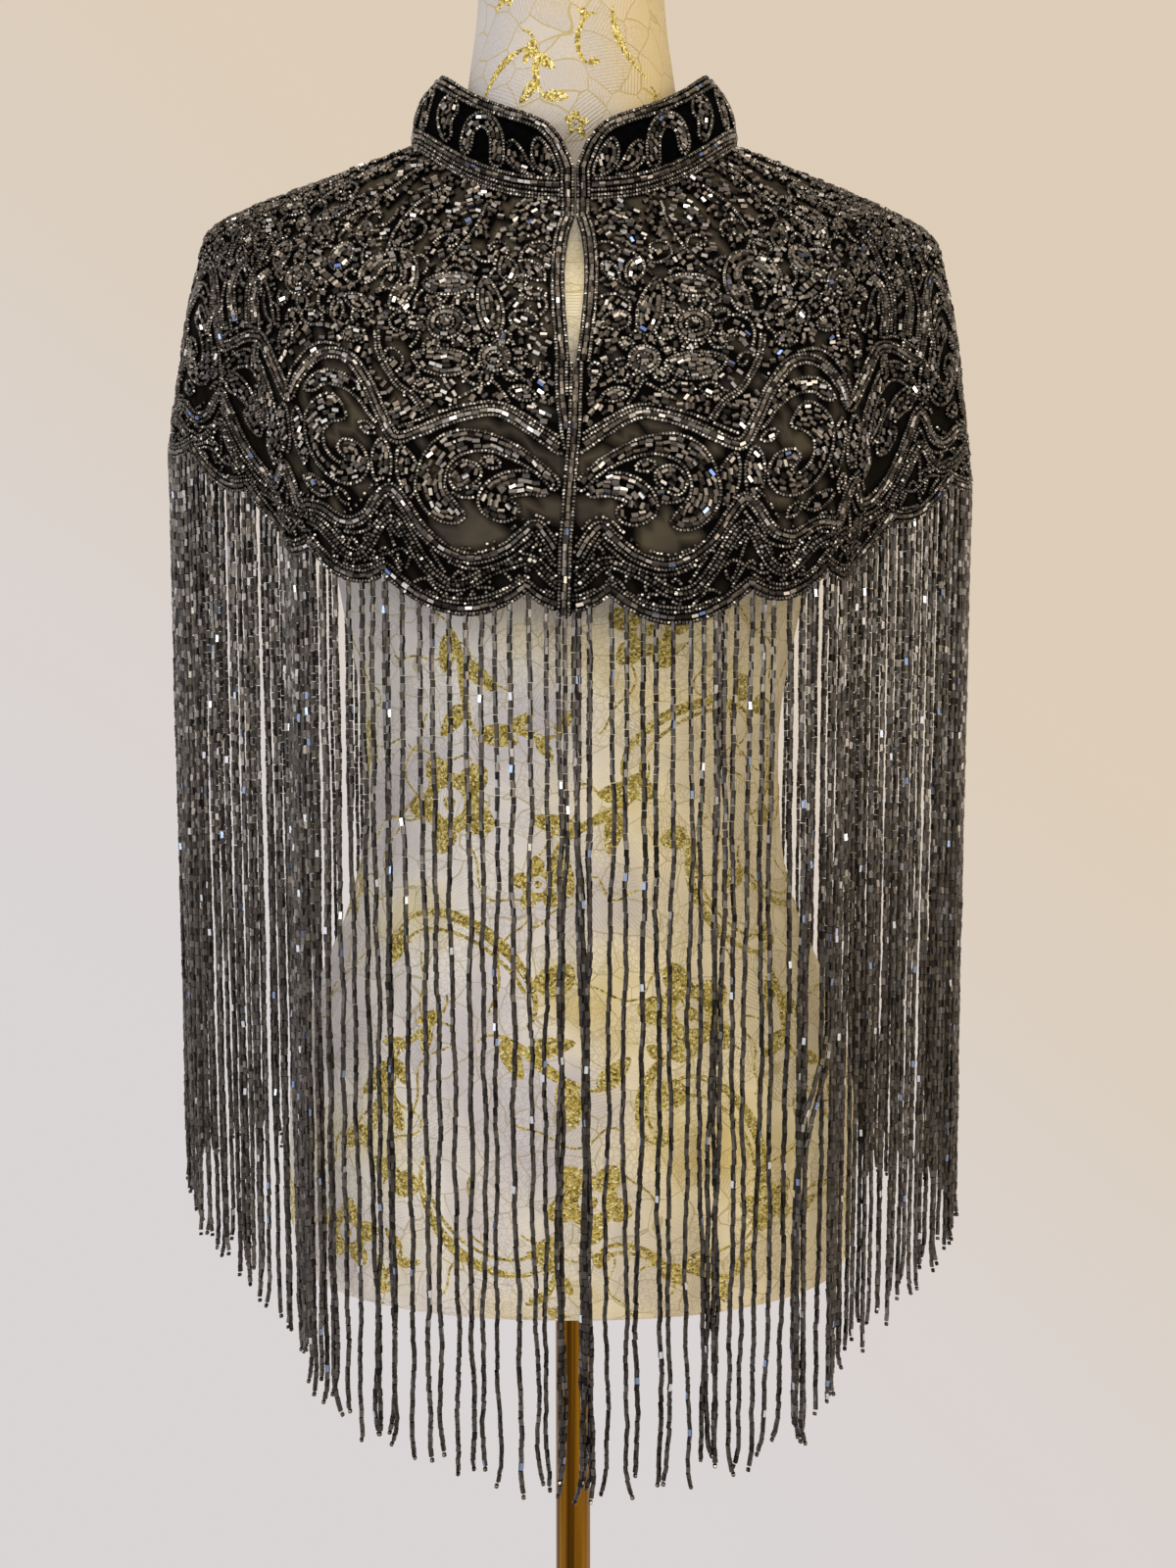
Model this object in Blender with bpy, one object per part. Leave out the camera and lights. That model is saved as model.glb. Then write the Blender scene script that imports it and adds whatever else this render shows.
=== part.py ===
"""A beaded fringe capelet worn by a limbless dress form on a round stand.

Units are metres, +Z is up, the wearer faces -Y and the origin is on the floor under the pole.
The capelet is a surface through rings round the neck: each ring is an oval whose height changes
from the front to the sides and the back. Its panels, stand collar and fringe are walls on it.
"""

import math

import bmesh
import bpy
from mathutils import Vector

# ---- Cloth sizes ----
CLOTH = 0.0020
COLLAR_CLOTH = 0.0024
FRINGE_DEPTH = 0.0024
SEAM_GAP = 0.0007
HEM_GAP = 0.0008
NECK_GAP = 0.0003
FRINGE_LENGTH = 0.430

# ---- The capelet's rings, from the neck seam to the lowest points of the hem ----
# share: how far down the cloth. side, front, back: the oval's reach. z_*: its height there.
RING_COLUMNS = ("share", "side", "front", "back", "z_side", "z_front", "z_back")
RINGS = [
    dict(zip(RING_COLUMNS, row))
    for row in (
        (0.00, 0.0935, 0.077, 0.069, 1.3930, 1.338, 1.418),
        (0.18, 0.1390, 0.096, 0.096, 1.3755, 1.307, 1.382),
        (0.36, 0.1850, 0.116, 0.117, 1.3570, 1.269, 1.338),
        (0.47, 0.2100, 0.128, 0.125, 1.3420, 1.241, 1.305),
        (0.54, 0.2165, 0.135, 0.129, 1.3200, 1.222, 1.285),
        (0.64, 0.2225, 0.144, 0.132, 1.2950, 1.197, 1.255),
        (0.82, 0.2290, 0.154, 0.136, 1.2520, 1.154, 1.203),
        (1.00, 0.2350, 0.159, 0.138, 1.2090, 1.111, 1.150),
    )
]
NECK_POWER = 2.4
HEIGHT_POWER = 2.6
NECK_SHIFT = 0.003
YOKE_TWIST = math.radians(18)
HEM_TILT = 0.010
SHARES = (0, 0.08, 0.17, 0.26, 0.34, 0.40, 0.44, 0.48, 0.52, 0.58, 0.66, 0.75, 0.84, 0.92, 1)

# ---- Hem scallops, from the centre front round to the centre back ----
CENTRE_LOBE = 0.019
BIG_LOBE = 0.072
SMALL_LOBE = 0.046
LOBE_PAIRS = 5
BIG_DROP = 0.014
SMALL_DROP = 0.009
BIG_STEPS = 5
SMALL_STEPS = 4

# ---- The largest folds: where round the hem (degrees from the front), how wide, how deep ----
FOLD_COLUMNS = ("angle", "width", "depth")
FOLDS = [
    dict(zip(FOLD_COLUMNS, row))
    for row in (
        (-150, 11, 0.005),
        (-118, 13, 0.010),
        (-51, 15, 0.020),
        (-45, 6, 0.005),
        (44, 6, 0.005),
        (51, 15, 0.020),
        (115, 13, 0.009),
        (146, 10, 0.006),
    )
]

# ---- Front opening ----
KEYHOLE_WIDTH = 0.0094
KEYHOLE_TOP = 0.08
KEYHOLE_END = 0.50
KEYHOLE_SHAPE = 0.85
CENTRE_SHIFT = 0.003

# ---- Stand collar ----
# angle: degrees from the centre front. rise: how tall it stands there. lean: how far in its top is.
COLLAR_COLUMNS = ("angle", "rise", "lean")
COLLAR = [
    dict(zip(COLLAR_COLUMNS, row))
    for row in (
        (0, 0.0165, 0.004),
        (2, 0.0240, 0.006),
        (4, 0.0310, 0.008),
        (7, 0.0375, 0.009),
        (11, 0.0425, 0.010),
        (18, 0.0455, 0.010),
        (30, 0.0460, 0.011),
        (45, 0.0440, 0.013),
        (65, 0.0415, 0.016),
        (90, 0.0400, 0.017),
        (135, 0.0400, 0.010),
        (180, 0.0410, 0.004),
    )
]
COLLAR_CURVE = 2.6
COLLAR_SHARES = (1.0, 0.85, 0.68, 0.4, 0.0)
COLLAR_TURNS = (0, 2, 4, 7, 11, 18, 30, 42, 54, 66, 78, 90, 105, 120, 135, 150, 165, 180)

# ---- Dress form, from the underside to the top of the neck ----
FORM_COLUMNS = ("z", "side", "front", "back", "squareness")
FORM = [
    dict(zip(FORM_COLUMNS, row))
    for row in (
        (0.728, 0.160, 0.086, 0.096, 2.3),
        (0.733, 0.169, 0.094, 0.106, 2.3),
        (0.746, 0.1730, 0.099, 0.113, 2.3),
        (0.800, 0.1745, 0.105, 0.121, 2.2),
        (0.850, 0.1715, 0.105, 0.120, 2.2),
        (0.890, 0.1610, 0.101, 0.112, 2.2),
        (0.962, 0.1325, 0.090, 0.094, 2.1),
        (1.020, 0.1255, 0.084, 0.079, 2.1),
        (1.070, 0.1265, 0.085, 0.079, 2.1),
        (1.130, 0.1370, 0.092, 0.087, 2.2),
        (1.200, 0.1480, 0.101, 0.096, 2.2),
        (1.260, 0.1620, 0.095, 0.100, 2.2),
        (1.298, 0.1820, 0.081, 0.092, 2.2),
        (1.322, 0.1935, 0.066, 0.078, 2.1),
        (1.338, 0.1950, 0.056, 0.066, 1.65),
        (1.348, 0.1895, 0.051, 0.058, 1.65),
        (1.3560, 0.1780, 0.048, 0.053, 1.65),
        (1.3646, 0.1570, 0.047, 0.051, 1.65),
        (1.3731, 0.1360, 0.047, 0.051, 1.65),
        (1.3815, 0.1130, 0.048, 0.052, 1.65),
        (1.3890, 0.0890, 0.052, 0.055, 1.65),
        (1.3990, 0.0720, 0.054, 0.056, 1.8),
        (1.417, 0.0630, 0.054, 0.056, 2.0),
        (1.438, 0.0590, 0.053, 0.055, 2.0),
        (1.468, 0.0548, 0.051, 0.054, 2.0),
        (1.500, 0.0530, 0.050, 0.053, 2.0),
        (1.526, 0.0520, 0.049, 0.052, 2.0),
        (1.533, 0.0480, 0.045, 0.048, 2.0),
    )
]
FORM_SIDES = 44
FORM_ROWS = 34
BUST_SIDE = 0.072
BUST_Z = 1.198
BUST_REACH = 0.026
BUST_WIDTH = 0.046
BUST_HEIGHT = 0.058

# ---- Stand ----
POLE_RADIUS = 0.011
BASE_RADIUS = 0.170
BASE_THICK = 0.012
BASE_EDGE = 0.004
HUB_RADIUS = 0.024
HUB_TOP = 0.040
ROUND_SIDES = 48
METAL_GAP = 0.0003


# ---------------------------------------------------------------- curves and surfaces
def smooth(table, key, column, value):
    """The column's value where the key column has this value, on a smooth curve through the rows."""
    last = len(table) - 1
    i = 0
    while i < last - 1 and value > table[i + 1][key]:
        i += 1
    low, high = table[i], table[i + 1]
    span = high[key] - low[key]
    u = (value - low[key]) / span

    def slope(k):
        before, after = table[max(k - 1, 0)], table[min(k + 1, last)]
        return (after[column] - before[column]) / (after[key] - before[key])

    rise = high[column] - low[column]
    start, end = slope(i) * span, slope(i + 1) * span
    return low[column] + u * (start + u * (3 * rise - 2 * start - end + u * (start + end - 2 * rise)))


def hem_point(angle):
    """The plan position of the hem oval."""
    hem = RINGS[-1]
    depth = hem["front"] if math.cos(angle) > 0 else hem["back"]
    return Vector((hem["side"] * math.sin(angle), -depth * math.cos(angle), 0))


def hem_angles():
    """Pairs of the distance round the hem from the centre front and the angle there, up to the back."""
    steps = 720
    pairs = [(0.0, 0.0)]
    for i in range(1, steps + 1):
        angle = math.pi * i / steps
        far = pairs[-1][0] + (hem_point(angle) - hem_point(pairs[-1][1])).length
        pairs.append((far, angle))
    return pairs


HEM_ANGLES = hem_angles()
HEM_HALF = HEM_ANGLES[-1][0]
# The lobes are spread so that a half lobe ends at the centre back.
LOBE_STRETCH = (HEM_HALF - CENTRE_LOBE) / (LOBE_PAIRS * (BIG_LOBE + SMALL_LOBE) + BIG_LOBE / 2)


def angle_at(distance):
    """The angle where the hem oval is this far from the centre front, negative to the wearer's right."""
    far = min(abs(distance), HEM_HALF)
    i = 1
    while HEM_ANGLES[i][0] < far:
        i += 1
    (low, start), (high, end) = HEM_ANGLES[i - 1], HEM_ANGLES[i]
    return math.copysign(start + (end - start) * (far - low) / (high - low), distance)


def lobes():
    """The scallops of one side as (start, end, drop, steps), from the centre front to the back."""
    found = [(-CENTRE_LOBE, CENTRE_LOBE, SMALL_DROP, 4)]
    for _ in range(LOBE_PAIRS):
        for width, drop, steps in ((BIG_LOBE, BIG_DROP, BIG_STEPS), (SMALL_LOBE, SMALL_DROP, SMALL_STEPS)):
            start = found[-1][1]
            found.append((start, start + width * LOBE_STRETCH, drop, steps))
    start = found[-1][1]
    found.append((start, start + BIG_LOBE * LOBE_STRETCH, BIG_DROP, BIG_STEPS + 1))
    return found


LOBES = lobes()
SEAM_FRONT = LOBES[2][1]
SEAM_BACK = LOBES[8][1]


def hem_rise(distance):
    """How far the hem's edge is above the lowest points of the hem."""
    far = min(abs(distance), HEM_HALF)
    for start, end, drop, _ in LOBES:
        if far <= end:
            across = (2 * far - start - end) / (end - start)
            return BIG_DROP - drop * (1 - across * across)
    return 0.0


def columns():
    """Distances round the hem from the centre front to the centre back, a few to each scallop."""
    found = [0.0]
    for start, end, _, steps in LOBES:
        for i in range(1, steps + 1):
            far = start + (end - start) * i / steps
            if found[-1] + 1e-6 < far <= HEM_HALF + 1e-6:
                found.append(min(far, HEM_HALF))
    return found


def ring_point(angle, share):
    """A point of the capelet's outer face without its folds, this far down at this angle."""
    to_front = math.cos(angle) > 0
    depth = smooth(RINGS, "share", "front" if to_front else "back", share)
    z_end = smooth(RINGS, "share", "z_front" if to_front else "z_back", share)
    z_side = smooth(RINGS, "share", "z_side", share)
    power = NECK_POWER + (HEIGHT_POWER - NECK_POWER) * min(1.0, share / 0.18)
    height = z_end + (z_side - z_end) * abs(math.sin(angle)) ** power
    height -= HEM_TILT * math.sin(angle) * share * share
    shift = NECK_SHIFT * (1 - share) ** 3 * (1 + math.cos(angle)) / 2
    side = smooth(RINGS, "share", "side", share)
    return Vector((shift + side * math.sin(angle), -depth * math.cos(angle), height))


def cloth_point(distance, share):
    """A point of the capelet's outer face: how far round the hem its line ends, and how far down."""
    hem_angle = angle_at(distance)
    angle = hem_angle + YOKE_TWIST * math.sin(2 * hem_angle) * (1 - share)
    point = ring_point(angle, share)
    fold = 0.0
    for row in FOLDS:
        off = (math.degrees(hem_angle) - row["angle"]) / row["width"]
        fold += row["depth"] * math.exp(-off * off) * share * share
    reach = math.hypot(point.x, point.y)
    return Vector((point.x * (1 - fold / reach), point.y * (1 - fold / reach), point.z))


def edge_share(distance):
    """How far down the cloth its scalloped edge lies."""
    length = (cloth_point(distance, 1) - cloth_point(distance, 0.82)).length / 0.18
    return 1 - hem_rise(distance) / length


def keyhole(share):
    """Half the width of the front opening at this share of the way down."""
    u = (share - KEYHOLE_TOP) / (KEYHOLE_END - KEYHOLE_TOP)
    if not 0 < u < 1:
        return 0.0
    return KEYHOLE_WIDTH / 2 * math.sin(math.pi * u**KEYHOLE_SHAPE) ** KEYHOLE_SHAPE


def centre_line(share):
    """How far to the wearer's left the front edges meet."""
    return CENTRE_SHIFT * (1 - share * share)


def form_point(angle, z):
    """A point of the dress form's surface."""
    side, front, back, n = (smooth(FORM, "z", c, z) for c in ("side", "front", "back", "squareness"))
    sine, cosine = math.sin(angle), math.cos(angle)
    depth = front if cosine > 0 else back
    x = side * math.copysign(abs(sine) ** (2 / n), sine)
    y = -depth * math.copysign(abs(cosine) ** (2 / n), cosine)
    if cosine > 0:
        up = (z - BUST_Z) / BUST_HEIGHT
        for centre in (-BUST_SIDE, BUST_SIDE):
            across = (x - centre) / BUST_WIDTH
            y -= BUST_REACH * math.exp(-across * across - up * up) * min(1.0, 2 * cosine)
    return Vector((x, y, z))


# ---------------------------------------------------------------- building tools
def material(name, colour, roughness, metallic=0.0):
    made = bpy.data.materials.new(name)
    made.use_nodes = True
    shader = made.node_tree.nodes["Principled BSDF"]
    shader.inputs["Base Color"].default_value = (*colour, 1)
    shader.inputs["Roughness"].default_value = roughness
    shader.inputs["Metallic"].default_value = metallic
    return made


def new_object(name, bm, finish, parent):
    bmesh.ops.recalc_face_normals(bm, faces=bm.faces)
    mesh = bpy.data.meshes.new(name)
    bm.to_mesh(mesh)
    bm.free()
    mesh.materials.append(finish)
    mesh.shade_smooth()
    mesh.set_sharp_from_angle(angle=math.radians(40))
    made = bpy.data.objects.new(name, mesh)
    made.parent = parent
    bpy.context.scene.collection.objects.link(made)
    return made


def grid(rows):
    """A mesh of quads through rows of points."""
    bm = bmesh.new()
    corners = [[bm.verts.new(p) for p in row] for row in rows]
    for upper, lower in zip(corners, corners[1:]):
        for i in range(len(upper) - 1):
            bm.faces.new((upper[i], lower[i], lower[i + 1], upper[i + 1]))
    return bm


def wall(name, rows, thickness, finish, parent):
    """A wall whose outer face goes through rows of points that run to the wearer's left, top row first."""
    made = new_object(name, grid(rows), finish, parent)
    outward = made.data.polygons[0].normal.dot(Vector(made.data.polygons[0].center) - FORM_AXIS)
    solidify = made.modifiers.new("Thickness", "SOLIDIFY")
    solidify.thickness = thickness
    solidify.offset = -math.copysign(1, outward)
    solidify.use_even_offset = True
    return made


def turned(name, profile, sides, finish, parent):
    """A solid turned about the pole's axis from (radius, z) pairs, starting and ending on the axis."""
    bm = bmesh.new()
    outline = [bm.verts.new((radius, 0, z)) for radius, z in profile]
    edges = [bm.edges.new(pair) for pair in zip(outline, outline[1:])]
    bmesh.ops.spin(
        bm, geom=outline + edges, axis=(0, 0, 1), cent=(0, 0, 0), steps=sides, angle=2 * math.pi
    )
    bmesh.ops.remove_doubles(bm, verts=bm.verts, dist=1e-5)
    return new_object(name, bm, finish, parent)


# ---------------------------------------------------------------- the garment
FORM_AXIS = Vector((0, 0, 1.2))


def panel_rows(first, last, to_centre=False):
    """Rows of points of the cloth between two distances round the hem."""
    side = 1 if first + last > 0 else -1
    inner, outer = sorted((abs(first), abs(last))) if first * last >= 0 else (0, 0)
    if inner or outer:
        stops = [c for c in COLUMNS if inner - 1e-6 <= c <= outer + 1e-6]
        stops = [side * c for c in stops]
    else:
        stops = [-c for c in reversed(COLUMNS) if c] + COLUMNS
    stops = sorted(stops)
    rows = []
    for share in SHARES:
        row = []
        for stop in stops:
            point = cloth_point(stop, share * edge_share(stop))
            if to_centre and stop == 0:
                point.x = centre_line(share) + side * (SEAM_GAP / 2 + keyhole(share))
            row.append(point)
        rows.append(row)
    return rows


def back_rows():
    """Rows of points of the back panel, from the wearer's left seam round to the right one."""
    stops = [c for c in COLUMNS if c >= SEAM_BACK - 1e-6]
    around = stops + [-c for c in reversed(stops[:-1])]
    return [[cloth_point(c, share * edge_share(c)) for c in around] for share in SHARES]


def pull_ends(rows, start=True, end=True):
    """Draws the outer columns in by half a seam gap, so that panels lie side by side."""
    for row in rows:
        if start:
            row[0] = row[0] + (row[1] - row[0]).normalized() * SEAM_GAP / 2
        if end:
            row[-1] = row[-1] + (row[-2] - row[-1]).normalized() * SEAM_GAP / 2
    return rows


def fringe_rows(stops):
    """Rows of points of the fringe's outer face, hanging straight down from the hem's edge."""
    top = [cloth_point(c, edge_share(c)) - Vector((0, 0, HEM_GAP)) for c in stops]
    ends = [cloth_point(c, 1).z - FRINGE_LENGTH for c in stops]
    rows = [top]
    for share in (0.5, 1.0):
        rows.append([Vector((p.x, p.y, p.z + (end - p.z) * share)) for p, end in zip(top, ends)])
    return rows


def collar_point(angle, share):
    """A point of the collar's outer face: its angle in degrees, and how far up."""
    off = min(angle, 360 - angle)
    rise = smooth(COLLAR, "angle", "rise", off)
    lean = NECK_GAP + smooth(COLLAR, "angle", "lean", off) * share**COLLAR_CURVE
    base = ring_point(math.radians(angle), 0)
    reach = 1 - lean / math.hypot(base.x, base.y)
    return Vector((base.x * reach, base.y * reach, base.z + NECK_GAP + rise * share))


def collar_rows():
    """Rows of points of the collar's outer face, top edge first, from its left end round to its right."""
    around = list(COLLAR_TURNS) + [360 - turn for turn in reversed(COLLAR_TURNS[:-1])]
    rows = [[collar_point(angle, share) for angle in around] for share in COLLAR_SHARES]
    for row in rows:
        row[0].x += SEAM_GAP / 2
        row[-1].x -= SEAM_GAP / 2
    return rows


COLUMNS = columns()


def garment(parent):
    net = material("beaded_net", (0.10, 0.095, 0.09), 0.4, 0.3)
    satin = material("beaded_satin", (0.05, 0.05, 0.05), 0.4, 0.3)
    strands = material("bead_strands", (0.16, 0.15, 0.14), 0.3, 0.6)
    for side, word in ((-1, "right"), (1, "left")):
        front = panel_rows(0, side * SEAM_FRONT, to_centre=True)
        wall(f"front_{word}", pull_ends(front, side < 0, side > 0), CLOTH, net, parent)
        flank = panel_rows(side * SEAM_FRONT, side * SEAM_BACK)
        wall(f"side_{word}", pull_ends(flank), CLOTH, net, parent)
        for piece, low, high in (("front", 0, SEAM_FRONT), ("side", SEAM_FRONT, SEAM_BACK)):
            stops = sorted(side * c for c in COLUMNS if low - 1e-6 <= c <= high + 1e-6)
            rows = pull_ends(fringe_rows(stops))
            wall(f"fringe_{piece}_{word}", rows, FRINGE_DEPTH, strands, parent)
    wall("back", pull_ends(back_rows()), CLOTH, net, parent)
    stops = [c for c in COLUMNS if c >= SEAM_BACK - 1e-6]
    around = stops + [-c for c in reversed(stops[:-1])]
    wall("fringe_back", pull_ends(fringe_rows(around)), FRINGE_DEPTH, strands, parent)
    wall("collar", collar_rows(), COLLAR_CLOTH, satin, parent)


# ---------------------------------------------------------------- the dress form and its stand
def torso(parent):
    cover = material("form_cover", (0.86, 0.82, 0.70), 0.7)
    low, high = FORM[0]["z"], FORM[-1]["z"]
    levels = [row["z"] for row in FORM]
    while len(levels) < FORM_ROWS:
        gaps = [(b - a, a, b) for a, b in zip(levels, levels[1:])]
        _, a, b = max(gaps)
        levels = sorted([*levels, (a + b) / 2])
    bm = bmesh.new()
    rings = [
        [bm.verts.new(form_point(2 * math.pi * i / FORM_SIDES, z)) for i in range(FORM_SIDES)]
        for z in levels
    ]
    for lower, upper in zip(rings, rings[1:]):
        for i in range(FORM_SIDES):
            j = (i + 1) % FORM_SIDES
            bm.faces.new((lower[i], lower[j], upper[j], upper[i]))
    for ring, z in ((rings[0], low), (rings[-1], high)):
        hub = bm.verts.new((0, 0, z))
        for i in range(FORM_SIDES):
            bm.faces.new((ring[i], ring[(i + 1) % FORM_SIDES], hub))
    return new_object("form_torso", bm, cover, parent)


def stand(parent):
    brass = material("brass", (0.72, 0.50, 0.18), 0.25, 1.0)
    slope = 0.006
    turned(
        "stand_base",
        [
            (0, 0),
            (BASE_RADIUS - BASE_EDGE, 0),
            (BASE_RADIUS, BASE_EDGE),
            (BASE_RADIUS, BASE_THICK - BASE_EDGE - slope / 3),
            (BASE_RADIUS - BASE_EDGE, BASE_THICK - slope / 2),
            (HUB_RADIUS, BASE_THICK),
            (HUB_RADIUS, HUB_TOP - BASE_EDGE),
            (HUB_RADIUS - BASE_EDGE, HUB_TOP),
            (0, HUB_TOP),
        ],
        ROUND_SIDES,
        brass,
        parent,
    )
    top = FORM[0]["z"] - METAL_GAP
    bottom = HUB_TOP + METAL_GAP
    bm = bmesh.new()
    bmesh.ops.create_cone(
        bm, cap_ends=True, segments=ROUND_SIDES, radius1=POLE_RADIUS, radius2=POLE_RADIUS, depth=top - bottom
    )
    pole = new_object("stand_pole", bm, brass, parent)
    pole.location.z = (top + bottom) / 2


def main():
    for old in list(bpy.data.objects):
        bpy.data.objects.remove(old)
    whole = bpy.data.objects.new("capelet_on_form", None)
    bpy.context.scene.collection.objects.link(whole)
    torso(whole)
    stand(whole)
    garment(whole)


main()
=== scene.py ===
"""The looks of a beaded fringe capelet on a limbless dress form.

Metres, +Z up, the wearer faces -Y. A place on the cloth is (distance, share): how far round the hem
its thread line ends, from the centre front and positive to the wearer's left, and how far down.
"""

import math

import bpy
import numpy as np
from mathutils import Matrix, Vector


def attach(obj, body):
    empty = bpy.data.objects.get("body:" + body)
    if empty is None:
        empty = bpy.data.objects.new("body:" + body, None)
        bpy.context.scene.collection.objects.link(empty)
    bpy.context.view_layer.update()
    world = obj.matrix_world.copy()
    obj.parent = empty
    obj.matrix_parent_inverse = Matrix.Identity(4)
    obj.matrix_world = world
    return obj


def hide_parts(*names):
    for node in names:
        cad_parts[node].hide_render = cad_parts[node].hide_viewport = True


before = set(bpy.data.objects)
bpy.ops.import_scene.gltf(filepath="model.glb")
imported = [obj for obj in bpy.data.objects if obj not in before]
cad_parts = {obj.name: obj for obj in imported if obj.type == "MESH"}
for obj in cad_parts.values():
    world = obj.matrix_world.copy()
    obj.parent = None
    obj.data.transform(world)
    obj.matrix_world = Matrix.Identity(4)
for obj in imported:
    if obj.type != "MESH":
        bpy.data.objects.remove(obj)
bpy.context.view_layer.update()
rng = np.random.default_rng(11)
MM = 0.001

# ---------------------------------------------------------------- sizes shared with the CAD source
NECK_GAP = 0.0003
FRINGE_LENGTH = 0.430
# Rings of the cape from the neck seam to the hem: share, half width, depth in front and behind, and the
# heights at the side, in front and behind.
SIDE, FRONT, BACK, Z_SIDE, Z_FRONT, Z_BACK = range(1, 7)
RINGS = np.array(
    [
        (0.00, 0.0935, 0.077, 0.069, 1.3930, 1.338, 1.418),
        (0.18, 0.1390, 0.096, 0.096, 1.3755, 1.307, 1.382),
        (0.36, 0.1850, 0.116, 0.117, 1.3570, 1.269, 1.338),
        (0.47, 0.2100, 0.128, 0.125, 1.3420, 1.241, 1.305),
        (0.54, 0.2165, 0.135, 0.129, 1.3200, 1.222, 1.285),
        (0.64, 0.2225, 0.144, 0.132, 1.2950, 1.197, 1.255),
        (0.82, 0.2290, 0.154, 0.136, 1.2520, 1.154, 1.203),
        (1.00, 0.2350, 0.159, 0.138, 1.2090, 1.111, 1.150),
    ]
)
NECK_POWER, HEIGHT_POWER, NECK_SHIFT = 2.4, 2.6, 0.003
YOKE_TWIST = math.radians(18)
HEM_TILT = 0.010
CENTRE_LOBE, BIG_LOBE, SMALL_LOBE, LOBE_PAIRS = 0.019, 0.072, 0.046, 5
BIG_DROP, SMALL_DROP = 0.014, 0.009
# Folds that run down the net: degrees round the hem, width in degrees, depth.
FOLDS = (
    (-150, 11, 0.005),
    (-118, 13, 0.010),
    (-51, 15, 0.020),
    (-45, 6, 0.005),
    (44, 6, 0.005),
    (51, 15, 0.020),
    (115, 13, 0.009),
    (146, 10, 0.006),
)
KEYHOLE_WIDTH, KEYHOLE_TOP, KEYHOLE_END, KEYHOLE_SHAPE = 0.0094, 0.08, 0.50, 0.85
# The collar: degrees from the centre front, how far it rises, and how far its top leans inwards.
RISE, LEAN = 1, 2
COLLAR = np.array(
    [
        (0, 0.0165, 0.004),
        (2, 0.0240, 0.006),
        (4, 0.0310, 0.008),
        (7, 0.0375, 0.009),
        (11, 0.0425, 0.010),
        (18, 0.0455, 0.010),
        (30, 0.0460, 0.011),
        (45, 0.0440, 0.013),
        (65, 0.0415, 0.016),
        (90, 0.0400, 0.017),
        (135, 0.0400, 0.010),
        (180, 0.0410, 0.004),
    ]
)
COLLAR_CURVE = 2.6
# The form: height, half width, depth in front and behind, and the power of the ring's outline.
FORM = np.array(
    [
        (0.728, 0.160, 0.086, 0.096, 2.3),
        (0.733, 0.169, 0.094, 0.106, 2.3),
        (0.746, 0.1730, 0.099, 0.113, 2.3),
        (0.800, 0.1745, 0.105, 0.121, 2.2),
        (0.850, 0.1715, 0.105, 0.120, 2.2),
        (0.890, 0.1610, 0.101, 0.112, 2.2),
        (0.962, 0.1325, 0.090, 0.094, 2.1),
        (1.020, 0.1255, 0.084, 0.079, 2.1),
        (1.070, 0.1265, 0.085, 0.079, 2.1),
        (1.130, 0.1370, 0.092, 0.087, 2.2),
        (1.200, 0.1480, 0.101, 0.096, 2.2),
        (1.260, 0.1620, 0.095, 0.100, 2.2),
        (1.298, 0.1820, 0.081, 0.092, 2.2),
        (1.322, 0.1935, 0.066, 0.078, 2.1),
        (1.338, 0.1950, 0.056, 0.066, 1.65),
        (1.348, 0.1895, 0.051, 0.058, 1.65),
        (1.3560, 0.1780, 0.048, 0.053, 1.65),
        (1.3646, 0.1570, 0.047, 0.051, 1.65),
        (1.3731, 0.1360, 0.047, 0.051, 1.65),
        (1.3815, 0.1130, 0.048, 0.052, 1.65),
        (1.3890, 0.0890, 0.052, 0.055, 1.65),
        (1.3990, 0.0720, 0.054, 0.056, 1.8),
        (1.417, 0.0630, 0.054, 0.056, 2.0),
        (1.438, 0.0590, 0.053, 0.055, 2.0),
        (1.468, 0.0548, 0.051, 0.054, 2.0),
        (1.500, 0.0530, 0.050, 0.053, 2.0),
        (1.526, 0.0520, 0.049, 0.052, 2.0),
        (1.533, 0.0480, 0.045, 0.048, 2.0),
    ]
)
BUST_SIDE, BUST_Z, BUST_REACH, BUST_WIDTH, BUST_HEIGHT = 0.072, 1.198, 0.026, 0.046, 0.058

# Soft creases of the net, besides the folds: distance, width (mm), from share, to share, depth (mm).
CREASES = (
    (-22, 9, 0.62, 1.05, 0.7),
    (38, 12, 0.55, 1.05, 0.8),
    (-66, 8, 0.70, 1.05, -0.8),
    (84, 10, 0.60, 1.05, 0.9),
    (-104, 9, 0.50, 0.95, 0.8),
    (126, 7, 0.45, 0.90, -0.9),
    (-178, 9, 0.42, 1.05, 1.2),
    (170, 10, 0.45, 1.05, 1.0),
    (-205, 7, 0.44, 0.90, -1.0),
    (215, 8, 0.44, 1.00, -0.9),
    (-262, 13, 0.50, 1.05, 1.3),
    (280, 11, 0.55, 1.05, 1.1),
    (-338, 10, 0.60, 1.05, -1.0),
    (352, 14, 0.50, 1.05, 1.2),
    (-430, 12, 0.55, 1.05, 1.1),
    (447, 9, 0.62, 1.05, -0.9),
    (-520, 11, 0.58, 1.05, 1.0),
    (566, 13, 0.52, 1.05, 1.2),
)


# ---------------------------------------------------------------- the surfaces
def unit(v):
    return v / np.maximum(np.linalg.norm(v, axis=-1, keepdims=True), 1e-12)


def run_of(points):
    """How far along a line each of its points lies."""
    return np.concatenate([[0], np.cumsum(np.linalg.norm(np.diff(points, axis=0), axis=1))])


def along_line(stops, far, values):
    """Values, column by column, at stops along a line whose points lie this far along."""
    return np.stack([np.interp(stops, far, column) for column in values.T], 1)


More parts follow.
